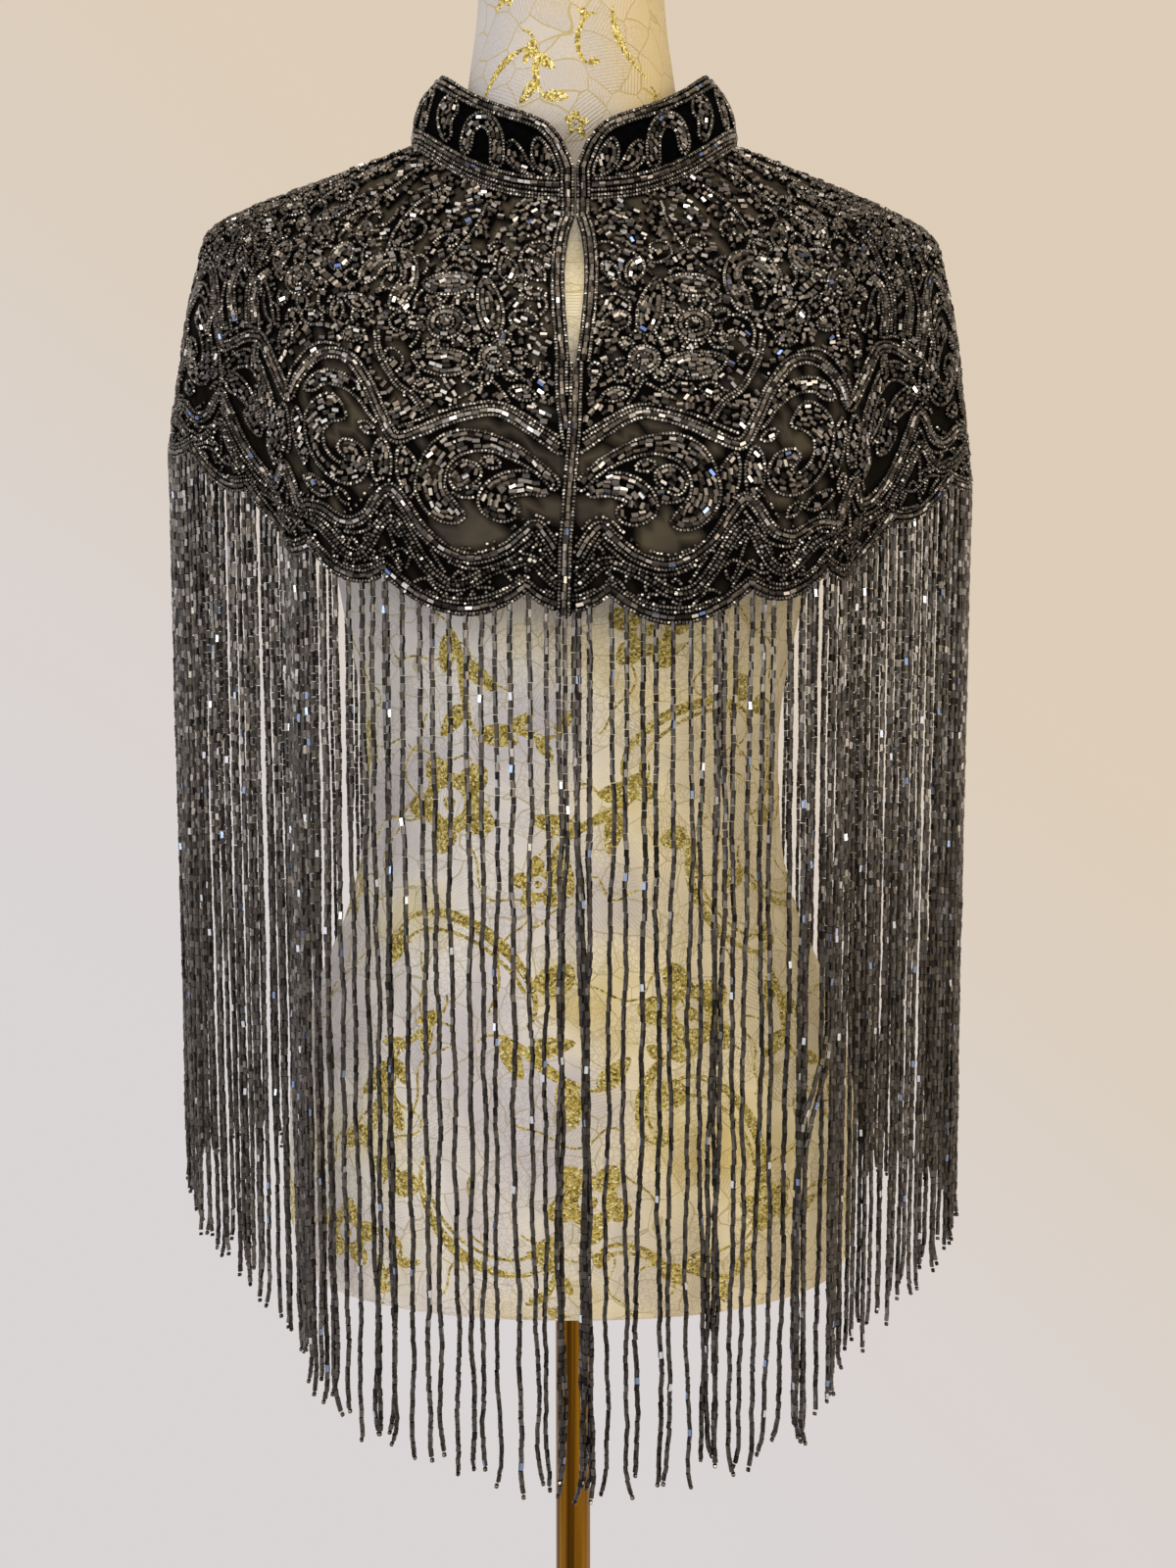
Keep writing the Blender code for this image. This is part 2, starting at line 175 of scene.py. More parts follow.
def quads_of(index):
    """The faces of a grid of point numbers."""
    corners = [index[:-1, :-1], index[1:, :-1], index[1:, 1:], index[:-1, 1:]]
    return np.stack(corners, -1).reshape(-1, 4)


def smooth(table, column, value):
    """The column's values on a smooth curve through the table's rows."""
    value = np.asarray(value, float)
    keys, heights = table[:, 0], table[:, column]
    last = len(keys) - 1
    i = np.clip(np.searchsorted(keys, value, side="left") - 1, 0, last - 1)
    row = np.arange(last + 1)
    before, after = np.maximum(row - 1, 0), np.minimum(row + 1, last)
    slopes = (heights[after] - heights[before]) / (keys[after] - keys[before])
    span = keys[i + 1] - keys[i]
    u = (value - keys[i]) / span
    rise = heights[i + 1] - heights[i]
    start, end = slopes[i] * span, slopes[i + 1] * span
    return heights[i] + u * (start + u * (3 * rise - 2 * start - end + u * (start + end - 2 * rise)))


TURNS = np.linspace(0, math.pi, 721)
HEM_DEPTH = np.where(np.cos(TURNS) > 0, RINGS[-1, FRONT], RINGS[-1, BACK])
HEM = np.stack([RINGS[-1, SIDE] * np.sin(TURNS), -HEM_DEPTH * np.cos(TURNS)], 1)
ROUND_HEM = run_of(HEM)
HEM_HALF = float(ROUND_HEM[-1])


def find_lobes():
    """The hem's scallops from the centre front to the back: start, end, drop."""
    stretch = (HEM_HALF - CENTRE_LOBE) / (LOBE_PAIRS * (BIG_LOBE + SMALL_LOBE) + BIG_LOBE / 2)
    found = [(-CENTRE_LOBE, CENTRE_LOBE, SMALL_DROP)]
    for i in range(2 * LOBE_PAIRS + 1):
        width, drop = ((BIG_LOBE, BIG_DROP), (SMALL_LOBE, SMALL_DROP))[i % 2]
        found.append((found[-1][1], found[-1][1] + width * stretch, drop))
    return found


LOBES = find_lobes()
SEAM_FRONT, SEAM_BACK = LOBES[2][1], LOBES[8][1]


def hem_turn(distance):
    return np.copysign(np.interp(np.abs(distance), ROUND_HEM, TURNS), distance)


def hem_rise(distance):
    far = np.minimum(np.abs(distance), HEM_HALF)
    rise = np.full(np.shape(far), BIG_DROP)
    for start, end, drop in LOBES:
        across = (2 * far - start - end) / (end - start)
        rise = np.where((far >= start) & (far <= end), BIG_DROP - drop * (1 - across * across), rise)
    return rise


def ring_point(angle, share):
    angle, share = np.broadcast_arrays(np.asarray(angle, float), np.asarray(share, float))
    sine, cosine = np.sin(angle), np.cos(angle)
    ahead = cosine > 0
    depth = np.where(ahead, smooth(RINGS, FRONT, share), smooth(RINGS, BACK, share))
    z_end = np.where(ahead, smooth(RINGS, Z_FRONT, share), smooth(RINGS, Z_BACK, share))
    power = NECK_POWER + (HEIGHT_POWER - NECK_POWER) * np.minimum(1, share / 0.18)
    height = z_end + (smooth(RINGS, Z_SIDE, share) - z_end) * np.abs(sine) ** power
    height = height - HEM_TILT * sine * share * share
    shift = NECK_SHIFT * (1 - share) ** 3 * (1 + cosine) / 2
    return np.stack([shift + smooth(RINGS, SIDE, share) * sine, -depth * cosine, height], -1)


def cloth(distance, share, creased=True):
    """Points of the net's outer face."""
    distance, share = np.broadcast_arrays(np.asarray(distance, float), np.asarray(share, float))
    turn = hem_turn(distance)
    point = ring_point(turn + YOKE_TWIST * np.sin(2 * turn) * (1 - share), share)
    degrees = np.degrees(turn)
    inward = sum(d * np.exp(-(((degrees - a) / w) ** 2)) for a, w, d in FOLDS) * share * share
    if creased:
        for place, width, low, high, depth in CREASES:
            along = np.clip((share - low) / (high - low), 0, 1)
            bell = np.exp(-(((distance / MM - place) / width) ** 2))
            inward = inward + depth * MM * bell * np.sin(math.pi / 2 * along) ** 2
    reach = np.hypot(point[..., 0], point[..., 1])
    point[..., :2] *= (1 - inward / reach)[..., None]
    return point


def edge_share(distance):
    """How far down the cloth its scalloped edge lies."""
    length = np.linalg.norm(cloth(distance, 1.0, False) - cloth(distance, 0.82, False), axis=-1) / 0.18
    return 1 - hem_rise(distance) / length


def keyhole(share):
    """Half the width of the front opening."""
    u = np.clip((np.asarray(share, float) - KEYHOLE_TOP) / (KEYHOLE_END - KEYHOLE_TOP), 0, 1)
    return KEYHOLE_WIDTH / 2 * np.sin(math.pi * u**KEYHOLE_SHAPE).clip(0) ** KEYHOLE_SHAPE


def collar(degrees, share):
    """Points of the collar's outer face, with negative degrees to the wearer's right."""
    degrees, share = np.broadcast_arrays(np.asarray(degrees, float), np.asarray(share, float))
    off = np.minimum(np.abs(degrees), 180)
    lean = NECK_GAP + smooth(COLLAR, LEAN, off) * np.clip(share, 0, 2) ** COLLAR_CURVE
    point = ring_point(np.radians(degrees), 0.0)
    point[..., :2] *= (1 - lean / np.hypot(point[..., 0], point[..., 1]))[..., None]
    point[..., 2] += NECK_GAP + smooth(COLLAR, RISE, off) * share
    return point


def form(angle, z):
    """Points of the dress form's surface."""
    angle, z = np.broadcast_arrays(np.asarray(angle, float), np.asarray(z, float))
    side, front, back, n = (smooth(FORM, column, z) for column in (1, 2, 3, 4))
    sine, cosine = np.sin(angle), np.cos(angle)
    x = side * np.copysign(np.abs(sine) ** (2 / n), sine)
    y = -np.where(cosine > 0, front, back) * np.copysign(np.abs(cosine) ** (2 / n), cosine)
    up = (z - BUST_Z) / BUST_HEIGHT
    for centre in (-BUST_SIDE, BUST_SIDE):
        across = (x - centre) / BUST_WIDTH
        y = y - BUST_REACH * np.exp(-across * across - up * up) * np.clip(2 * cosine, 0, 1)
    return np.stack([x, y, z], -1)


class Chart:
    """A surface as a function of two numbers, with outward normals."""

    def __init__(self, place, steps, flip=1):
        self.place, self.steps, self.flip = place, steps, flip

    def points(self, p):
        return self.place(p[:, 0], p[:, 1])

    def slopes(self, p):
        du, dv = self.steps
        across = (self.place(p[:, 0] + du, p[:, 1]) - self.place(p[:, 0] - du, p[:, 1])) / (2 * du)
        down = (self.place(p[:, 0], p[:, 1] + dv) - self.place(p[:, 0], p[:, 1] - dv)) / (2 * dv)
        return across, down

    def normals(self, p):
        across, down = self.slopes(p)
        return unit(np.cross(down, across)) * self.flip

    def local(self, centre, shape, turn=0.0):
        """Chart places of a shape in mm (x to the wearer's left, y up) about a centre."""
        x, y = np.asarray(shape, float).T * MM
        c, s = math.cos(math.radians(turn)), math.sin(math.radians(turn))
        across, down = self.slopes(np.array([centre]))
        wide, tall = np.linalg.norm(across[0]), np.linalg.norm(down[0])
        sign = -1 if self.flip > 0 else 1
        return np.stack([centre[0] + (c * x - s * y) / wide, centre[1] + sign * (s * x + c * y) / tall], 1)


NET = Chart(cloth, (2e-4, 1e-3))
BAND = Chart(collar, (0.05, 0.01), flip=-1)
FORM_CHART = Chart(form, (1e-3, 1e-4), flip=-1)


def spline(path, closed=False, each=10):
    """A smooth curve through a few points."""
    path = np.asarray(path, float)
    if len(path) < 3:
        return path[0] + (path[-1] - path[0]) * np.linspace(0, 1, each * 4)[:, None]
    if closed:
        p = np.concatenate([path[-1:], path, path[:2]])
    else:
        p = np.concatenate([2 * path[:1] - path[1:2], path, 2 * path[-1:] - path[-2:-1]])
    t = np.linspace(0, 1, each, endpoint=False)[:, None]
    parts = []
    for i in range(1, len(p) - 2):
        a, b, c, d = p[i - 1], p[i], p[i + 1], p[i + 2]
        parts.append(
            0.5 * (2 * b + (c - a) * t + (2 * a - 5 * b + 4 * c - d) * t**2 + (3 * b - a - 3 * c + d) * t**3)
        )
    parts.append(p[-2:-1])
    return np.concatenate(parts)


# ---------------------------------------------------------------- beads
BUGLE = dict(radius=1.27 * MM, length=3.4 * MM, pitch=3.78 * MM)
SEED = dict(radius=1.08 * MM, length=1.28 * MM, pitch=1.74 * MM)
ROUND = dict(radius=1.40 * MM, length=1.7 * MM, pitch=2.3 * MM)
KINDS = {"bugle": BUGLE, "seed": SEED, "round": ROUND}
CELL = 3.0 * MM


class Beads:
    """Beads sewn on a surface, with room kept between them."""

    def __init__(self):
        self.rows = []
        self.cells = {}

    def near(self, spots, radius, share):
        for spot in spots:
            key = tuple(int(math.floor(c / CELL)) for c in spot)
            for i in range(key[0] - 1, key[0] + 2):
                for j in range(key[1] - 1, key[1] + 2):
                    for k in range(key[2] - 1, key[2] + 2):
                        for x, y, z, r in self.cells.get((i, j, k), ()):
                            gap = (radius + r) * share
                            if (x - spot[0]) ** 2 + (y - spot[1]) ** 2 + (z - spot[2]) ** 2 < gap * gap:
                                return True
        return False

    def add(self, point, along, normal, kind, home, share, scale, lift=0.0):
        """Sews a bead unless others are nearer than the share of their two radii."""
        size = KINDS[kind]
        radius, length = size["radius"] * scale, size["length"] * scale
        middle = point + normal * (radius * 0.92 + lift)
        spots = [middle]
        if kind == "bugle":
            spots = [middle + along * length * 0.22, middle - along * length * 0.22]
        spots = [tuple(float(c) for c in s) for s in spots]
        if self.near(spots, radius, share):
            return
        for spot in spots:
            key = tuple(int(math.floor(c / CELL)) for c in spot)
            self.cells.setdefault(key, []).append((*spot, radius))
        self.rows.append((middle, along, normal, radius, length, kind, home))


sewn = Beads()


def row_of(points, normals, homes, kind, skip):
    """Sews beads end to end along a line in space, and leaves out the share skip of them."""
    far = run_of(points)
    pitch = KINDS[kind]["pitch"]
    count = int(round(far[-1] / pitch))
    if count < 1:
        return
    stops = (np.arange(count) + 0.5) * far[-1] / count
    ends = [along_line(np.clip(stops + d, 0, far[-1]), far, points) for d in (0.3 * pitch, -0.3 * pitch)]
    places, lefts = along_line(stops, far, points), np.interp(stops, far, homes)
    along = unit(ends[0] - ends[1])
    upward = unit(along_line(stops, far, normals))
    along = unit(along - upward * (along * upward).sum(1, keepdims=True))
    draws = rng.random((count, 3))
    for i in range(count):
        if draws[i, 0] >= skip:
            sewn.add(places[i], along[i], upward[i], kind, lefts[i], 0.7, 0.93 + 0.14 * draws[i, 1])


def sew(chart, path, kinds="seed", gap=2.45, closed=False, skip=0.0, raw=False):
    """Sews one or more rows of beads side by side along a curve in the chart.

    kinds is a name, or several from the left of the curve to its right, gap mm apart. A raw path is
    already a fine curve.
    """
    fine = np.asarray(path, float) if raw else spline(path, closed)
    points, normals = chart.points(fine), chart.normals(fine)
    tangents = unit(np.gradient(points, axis=0))
    aside = np.cross(tangents, normals)
    names = [kinds] if isinstance(kinds, str) else list(kinds)
    for i, kind in enumerate(names):
        off = (i - (len(names) - 1) / 2) * gap * MM
        row_of(points + aside * off, normals, fine[:, 0], kind, skip)


EDGED = ("seed", "bugle", "seed")


LADDER_GAP, LADDER_SKIP = 2.95 * MM, 0.04


def ladder(path):
    """Sews bugles on the net side by side, across a curve."""
    fine = spline(path)
    points, normals = NET.points(fine), NET.normals(fine)
    far = run_of(points)
    count = max(1, int(far[-1] / LADDER_GAP))
    stops = (np.arange(count) + 0.5) * far[-1] / count
    places = along_line(stops, far, points)
    upward = unit(along_line(stops, far, normals))
    along = unit(along_line(stops, far, unit(np.gradient(points, axis=0))))
    homes = np.interp(stops, far, fine[:, 0])
    draws = rng.random((count, 2))
    for i in range(count):
        if draws[i, 0] >= LADDER_SKIP:
            across = unit(np.cross(upward[i], along[i]) + along[i] * (draws[i, 1] - 0.5) * 0.5)
            sewn.add(places[i], across, upward[i], "bugle", homes[i], 0.72, 0.92 + 0.12 * draws[i, 1])


def inside(points, polygon):
    """Which points lie in a closed polygon."""
    x, y = points[:, 0], points[:, 1]
    found = np.zeros(len(points), bool)
    x0, y0 = polygon[-1]
    for x1, y1 in polygon:
        crosses = (y1 > y) != (y0 > y)
        with np.errstate(divide="ignore", invalid="ignore"):
            found ^= crosses & (x < (x0 - x1) * (y - y1) / (y0 - y1) + x1)
        x0, y0 = x1, y1
    return found


def lay(chart, spots, angles, kinds, sizes, share, lift=0.0):
    """Sews single beads at chart places, each at its angle in degrees from across."""
    points, upward = chart.points(spots), chart.normals(spots)
    across, _ = chart.slopes(spots)
    across = unit(across)
    up = np.cross(upward, across)
    turns = np.radians(angles)
    along = across * np.cos(turns)[:, None] + up * np.sin(turns)[:, None]
    for i in range(len(spots)):
        sewn.add(points[i], along[i], upward[i], str(kinds[i]), spots[i, 0], share, sizes[i], lift)


# Files of bugles in a motif: how far the first lies inside its outline, then from file to file, and from
# bugle to bugle.
FILES_START, FILES_APART, FILES_PITCH, MOST_FILES = 2.4 * MM, 2.6 * MM, 3.7 * MM, 7


def heading_of(steps):
    return np.degrees(np.arctan2(steps[:, 1], steps[:, 0]))


def files(flat):
    """Places and headings along lines inside a closed outline, each further in than the last."""
    pitch = FILES_PITCH
    ends = np.concatenate([flat, flat[:1]])
    far = run_of(ends)
    line = along_line(np.arange(0, far[-1], pitch / 7), far, ends)
    ahead = unit(np.roll(line, -1, 0) - line)
    inward = np.stack([-ahead[:, 1], ahead[:, 0]], 1)
    x, y = line.T
    if (x * np.roll(y, -1) - y * np.roll(x, -1)).sum() < 0:
        inward = -inward
    found = []
    for k in range(MOST_FILES):
        off = FILES_START + FILES_APART * k
        moved = line + inward * off
        gaps = np.sqrt(((moved[:, None] - line[None]) ** 2).sum(2)).min(1)
        good = gaps > 0.94 * off
        if good.sum() < 3:
            break
        run = 0.6 * pitch
        for i in range(1, len(moved)):
            if not (good[i] and good[i - 1]):
                run = 0.6 * pitch
                continue
            run += float(np.linalg.norm(moved[i] - moved[i - 1]))
            if run >= pitch:
                run -= pitch
                found.append((*moved[i], *ahead[i]))
    return np.array(found).reshape(-1, 4)


# How the loose bugles are laid: nearness that is refused, and lift above the net (mm).
LAYERS = ((0.90, 0.0), (0.80, 0.2), (0.72, 0.5))
GAPS_ONLY = LAYERS[1:]
SCATTER_ACROSS, SCATTER_DOWN = 2.7 * MM, 3.0 * MM


def scatter(chart, polygon, turn, spread, layers=LAYERS, keep=None, seeds=0.04):
    """Fills an outline in the chart with bugles, and the share seeds of seed beads.

    turn gives the angle at each spot, in degrees from across, spread how far it varies to either side,
    and keep says which spots are filled.
    """
    low, high = polygon.min(0), polygon.max(0)
    _, down = chart.slopes(np.array([(low + high) / 2]))
    dv = SCATTER_DOWN / np.linalg.norm(down[0])
    for share, lift in layers:
        found = []
        for v in np.arange(low[1], high[1] + dv, dv):
            local, _ = chart.slopes(np.array([((low[0] + high[0]) / 2, v)]))
            step = SCATTER_ACROSS / np.linalg.norm(local[0])
            us = np.arange(low[0], high[0] + step, step)
            row = np.stack([us, np.full(len(us), v)], 1)
            found.append(row + (rng.random(row.shape) - 0.5) * (step, dv))
        spots = np.concatenate(found)
        chances = rng.random((len(spots), 2))
        good = inside(spots, polygon)
        if keep is not None:
            good &= keep(spots)
        spots, chances = spots[good], chances[good]
        if not len(spots):
            continue
        angles = turn(spots) + (chances[:, 0] - 0.5) * 2 * spread
        kinds = np.where(chances[:, 1] < seeds, "seed", "bugle")
        lay(chart, spots, angles, kinds, 0.9 + 0.16 * chances[:, 0], share, lift * MM)


def fill(chart, outline, flatten, unflatten, sign, spread, layers):
    """Fills an outline in the chart with files of bugles that follow it, then the gaps between them.

    flatten and unflatten take places from the chart to metres on a flat sheet and back, and sign is -1
    where the sheet is the chart's mirror image.
    """
    flat = flatten(outline)
    found = files(flat)
    if len(found):
        chances = rng.random((len(found), 2))
        angles = heading_of(found[:, 2:]) * sign + (chances[:, 0] - 0.5) * 2 * spread
        sizes = 0.93 + 0.14 * chances[:, 1]
        lay(chart, unflatten(found[:, :2]), angles, ["bugle"] * len(found), sizes, 0.8)
    headings = heading_of(np.roll(flat, -1, 0) - flat) * sign

    def turn(spots):
        gaps = (flatten(spots)[:, None] - flat[None]) ** 2
        return headings[gaps.sum(2).argmin(1)]

    scatter(chart, outline, turn, spread, layers)


def mm(path, side):
    """Chart places from (mm, share) pairs on one side."""
    path = np.array(path, float)
    path[:, 0] *= MM * side
    return path


# ---------------------------------------------------------------- where the patterns run
CENTRE_SHIFT = 0.003
# One period of each wavy band: distance from the centre front (mm), share.
WAVE_PERIOD = 132
ARCH_WAVE = (
    (4, 0.650), (15, 0.612), (28, 0.577), (40, 0.584), (52, 0.606), (64, 0.636), (75, 0.656), (81, 0.616),
    (88, 0.560), (97, 0.524), (108, 0.524), (119, 0.552), (129, 0.604),
)  # fmt: skip
SWAG_WAVE = (
    (4, 0.868), (9, 0.830), (14, 0.806), (20, 0.828), (30, 0.862), (44, 0.882), (56, 0.870), (66, 0.836),
    (73, 0.792), (79, 0.766), (86, 0.790), (95, 0.838), (107, 0.862), (119, 0.852), (129, 0.858),
)  # fmt: skip
# Where the arches have their cusps (mm), with a block of motifs from each to the next. The motifs are
# drawn for the width of the first block.
BLOCK = 72
ARCH_CUSPS = [4 + WAVE_PERIOD * k + extra for k in range(5) for extra in (0, BLOCK)]


def repeated(wave):
    """A wave repeated round half the hem, as a finely divided smooth curve."""
    turns = int(math.ceil(HEM_HALF / MM / WAVE_PERIOD)) + 1
    return spline([(far + WAVE_PERIOD * k, share) for k in range(turns) for far, share in wave], each=12)


ARCH_LINE, SWAG_LINE = repeated(ARCH_WAVE), repeated(SWAG_WAVE)


def centre_line(share):
    return CENTRE_SHIFT * (1 - np.asarray(share, float) ** 2)


def arch_share(distance):
    """The wavy band under the yoke."""
    return np.interp(np.abs(np.asarray(distance, float)) / MM, *ARCH_LINE.T)


def swag_share(distance):
    """The wavy band above the hem."""
    return np.interp(np.abs(np.asarray(distance, float)) / MM, *SWAG_LINE.T)


def above_edge(distances, height):
    """Places this many mm above the scalloped edge."""
    _, down = NET.slopes(np.stack([distances, np.full(len(distances), 0.96)], 1))
    share = edge_share(distances) - height * MM / np.linalg.norm(down, axis=1)
    return np.stack([distances, share], 1)


def across_front(x, share):
    """Places near the centre front that lie this far to the wearer's left."""
    grid = np.linspace(-0.06, 0.06, 61)
    found = [np.interp(xi, cloth(grid, si, False)[:, 0], grid) for xi, si in zip(x, share)]
    return np.stack([found, share], 1)


# ---------------------------------------------------------------- the beadwork
# How the closed fronts wander from the middle: share, mm to the wearer's left.
CLOSURE = np.array([(0.47, 4.0), (0.60, 3.2), (0.72, 1.0), (0.85, -1.2), (1.0, -2.0)])
# Down to the first share each front has its own edge band. Below it the left one runs on alone, and the
# right one ends under it at the second share, this far (mm) to the right of it where they part.
FRONTS_MEET, FRONTS_ONE, LAPPED = 0.475, 0.67, 7.3
# From a front's edge to the middle of its band, and the net that the yoke's bugles leave to the bands
# beside the keyhole and below it (mm).
FRONT_BAND, KEYHOLE_CLEAR, CLOSED_CLEAR = 3.9, 8.0, 4.9
# Heights above the scalloped edge of its band and of the row above it (mm).
HEM_BAND, HEM_ROW = 3.6, 8.2


def closure_line(share):
    return np.interp(share, *CLOSURE.T) * MM


def closure_bands():
    """The bands along the front edges and where the fronts meet, and a row round the neck."""
    shares = np.linspace(0.008, FRONTS_MEET, 90)
    for side in (-1, 1):
        x = centre_line(shares) + side * (keyhole(shares) + FRONT_BAND * MM)
        sew(NET, across_front(x, shares), EDGED, gap=2.6, raw=True)
        round_neck = np.linspace(0.012, HEM_HALF, 900) * side
        sew(NET, np.stack([round_neck, np.full(900, 0.007)], 1), raw=True)
    shares = np.linspace(FRONTS_MEET, 0.985, 110)
    sew(NET, across_front(closure_line(shares), shares), EDGED, raw=True)
    shares = np.linspace(FRONTS_MEET, FRONTS_ONE, 44)
    away = LAPPED * MM * (1 - ((shares - FRONTS_MEET) / (FRONTS_ONE - FRONTS_MEET)) ** 2)
    sew(NET, across_front(closure_line(shares) - away, shares), EDGED, raw=True)


def hem_rows(side):
    """A band along the scalloped edge and a row of seed beads above it."""
    start = 0.0 if side > 0 else 0.001
    far = np.arange(start, HEM_HALF, 0.7 * MM)
    sew(NET, above_edge(far * side, HEM_BAND), EDGED, raw=True)
    sew(NET, above_edge(far * side, HEM_ROW), raw=True, skip=0.02)


def beside(path, off):
    """A curve on the net moved down it by this many mm, square to its run."""
    points, normals = NET.points(path), NET.normals(path)
    aside = np.cross(unit(np.gradient(points, axis=0)), normals)
    across, down = NET.slopes(path)
    down_unit = unit(down)
    sign = np.sign((aside * down_unit).sum(1).mean())
    shift = aside * sign * off * MM
    moved = path.copy()
    moved[:, 0] += (shift * unit(across)).sum(1) / np.linalg.norm(across, axis=1)
    moved[:, 1] += (shift * down_unit).sum(1) / np.linalg.norm(down, axis=1)
    return moved


# Rows of seed beads along the wavy bands: which band, mm below it, share left out.
UNDER_ROWS = (("arch", -4.9, 0.03), ("swag", 4.9, 0.02), ("swag", -4.9, 0.40))
# Bundles of rows that wander between the swags and the edge: middle and swing as parts of the way
# down, period (mm), start of the wave, beads.
WANDERING = (
    (0.40, 0.13, 47, 0.4, ("seed", "round", "seed")),
    (0.62, 0.10, 31, 2.6, ("seed",)),
    (0.30, 0.15, 25, 1.1, ("seed",)),
    (0.74, 0.11, 21, 4.2, ("seed",)),
    (0.50, 0.24, 18, 0.0, ("seed",)),
)


def wave_bands(side):
    """The two wavy bands with their rows of seed beads, and the wandering rows below them."""
    far = np.arange(0.5 * MM, HEM_HALF, 0.7 * MM)
    bands = {"arch": arch_share(far), "swag": swag_share(far)}
    bands = {name: np.stack([far * side, share], 1) for name, share in bands.items()}
    for band in bands.values():
        sew(NET, band, EDGED, raw=True)
    for name, off, skip in UNDER_ROWS:
        sew(NET, beside(bands[name], off)[4:], raw=True, skip=skip)
    for middle, swing, period, start, kinds in WANDERING:
        part = middle + swing * np.sin(2 * math.pi * far / (period * MM) + start)
        share = swag_share(far) * (1 - part) + edge_share(far) * part
        sew(NET, np.stack([far * side, share], 1), kinds, gap=2.35, raw=True)


# Motifs of the wide band: mm from the block's edge, share.
SCROLL = (
    (0, 0.715), (8, 0.675), (17, 0.646), (28, 0.624), (40, 0.620), (50, 0.640), (57, 0.675),
    (61, 0.715), (63, 0.755), (60, 0.790), (54, 0.812), (46, 0.815), (41, 0.798), (45, 0.772),
    (49, 0.745), (48, 0.710), (44, 0.682), (37, 0.664), (28, 0.660), (18, 0.676), (9, 0.702), (2, 0.735),
)  # fmt: skip
PEAR = (
    (4, 0.712), (12, 0.698), (21, 0.700), (29, 0.720), (34, 0.750), (34.5, 0.775), (31, 0.795),
    (24, 0.803), (18, 0.790), (17, 0.770), (21, 0.755), (13, 0.745), (5, 0.745),
)  # fmt: skip
LEAF = ((34, 0.690), (40, 0.684), (45, 0.700), (47, 0.725), (44, 0.745), (38, 0.735), (33, 0.712))
CURL = (
    (36, 0.605), (48, 0.625), (57, 0.665), (59, 0.715), (52, 0.760), (38, 0.782), (24, 0.770),
    (16, 0.730), (20, 0.692), (31, 0.690), (36, 0.712), (31, 0.730), (36, 0.742), (44, 0.725),
    (45, 0.690), (38, 0.662), (28, 0.640),
)  # fmt: skip
BUD = ((6, 0.665), (12, 0.690), (14, 0.735), (10, 0.775), (4, 0.745), (2, 0.700))
SPRIG = ((30, 0.735), (36, 0.728), (42, 0.735), (46, 0.752), (40, 0.760), (33, 0.752))
TALL_BUD = ((62, 0.700), (68, 0.672), (71, 0.700), (70.5, 0.745), (66, 0.775), (62, 0.745))
HOOK = (
    (6, 0.640), (10, 0.600), (18, 0.570), (30, 0.556), (42, 0.562), (52, 0.585), (58, 0.620), (50, 0.612),
    (42, 0.590), (30, 0.584), (20, 0.598), (13, 0.625),
)  # fmt: skip


def in_block(path, start, end, flip, side):
    """A motif stretched over the block between two cusps, and mirrored if flip is set."""
    path = np.array(path, float)
    x = path[:, 0] / BLOCK
    path[:, 0] = (start + (1 - x if flip else x) * (end - start)) * MM * side
    return path


def scroll_band(side):
    """The motifs of the wide band, in blocks between the cusps, mirrored in turn."""
    for i, (start, end) in enumerate(zip(ARCH_CUSPS, ARCH_CUSPS[1:])):
        if i % 2 == 0:
            shapes, flip = (SCROLL, PEAR, LEAF, SPRIG, TALL_BUD), i % 4 == 2
        else:
            shapes, flip = (CURL, BUD, HOOK), i % 4 == 3
        for shape in shapes:
            motif(in_block(shape, start, end, flip, side))
        if i % 2:
            motif(in_block(BUD, start, end, not flip, side))


def motif(path):
    """A closed motif: an outline of seed beads round bugles that follow it."""
    closed = spline(path, closed=True)
    if np.abs(closed[:, 0]).max() > HEM_HALF - 1.5 * MM:
        return
    sew(NET, path, closed=True)
    across, down = NET.slopes(np.array([closed.mean(0)]))
    metric = np.array([np.linalg.norm(across[0]), -np.linalg.norm(down[0])])
    fill(NET, closed, lambda spots: spots * metric, lambda flat: flat / metric, 1, 16, GAPS_ONLY)


# Motifs of the band between the yoke and the arches: mm from the centre front, share.
PETAL = (
    (43, 0.285), (37, 0.310), (32, 0.345), (29.5, 0.385), (30, 0.415), (35, 0.420), (40, 0.390),
    (43, 0.350), (44.5, 0.315),
)  # fmt: skip
BLADE = (
    (45, 0.300), (52, 0.286), (60, 0.286), (68, 0.300), (73, 0.328), (66, 0.346), (57, 0.342), (50, 0.328),
)  # fmt: skip
LOW_BLADE = ((40, 0.478), (49, 0.463), (59, 0.468), (67, 0.486), (62, 0.508), (51, 0.514), (43, 0.500))
SHOE = (
    (78, 0.395), (76, 0.345), (80, 0.295), (89, 0.262), (99, 0.266), (107, 0.300), (109, 0.345),
    (104, 0.372), (99, 0.350), (98, 0.315), (91, 0.300), (86, 0.325), (86, 0.370), (84, 0.402),
)  # fmt: skip


def ring(centre, wide, tall, side, turn=0):
    """An oval, in mm across and up, about a place in mm and share."""
    turns = np.linspace(0, 2 * math.pi, 14, endpoint=False)
    shape = np.stack([wide / 2 * np.cos(turns), tall / 2 * np.sin(turns)], 1)
    place = (centre[0] * MM * side, centre[1])
    return NET.local(place, shape, turn * side)


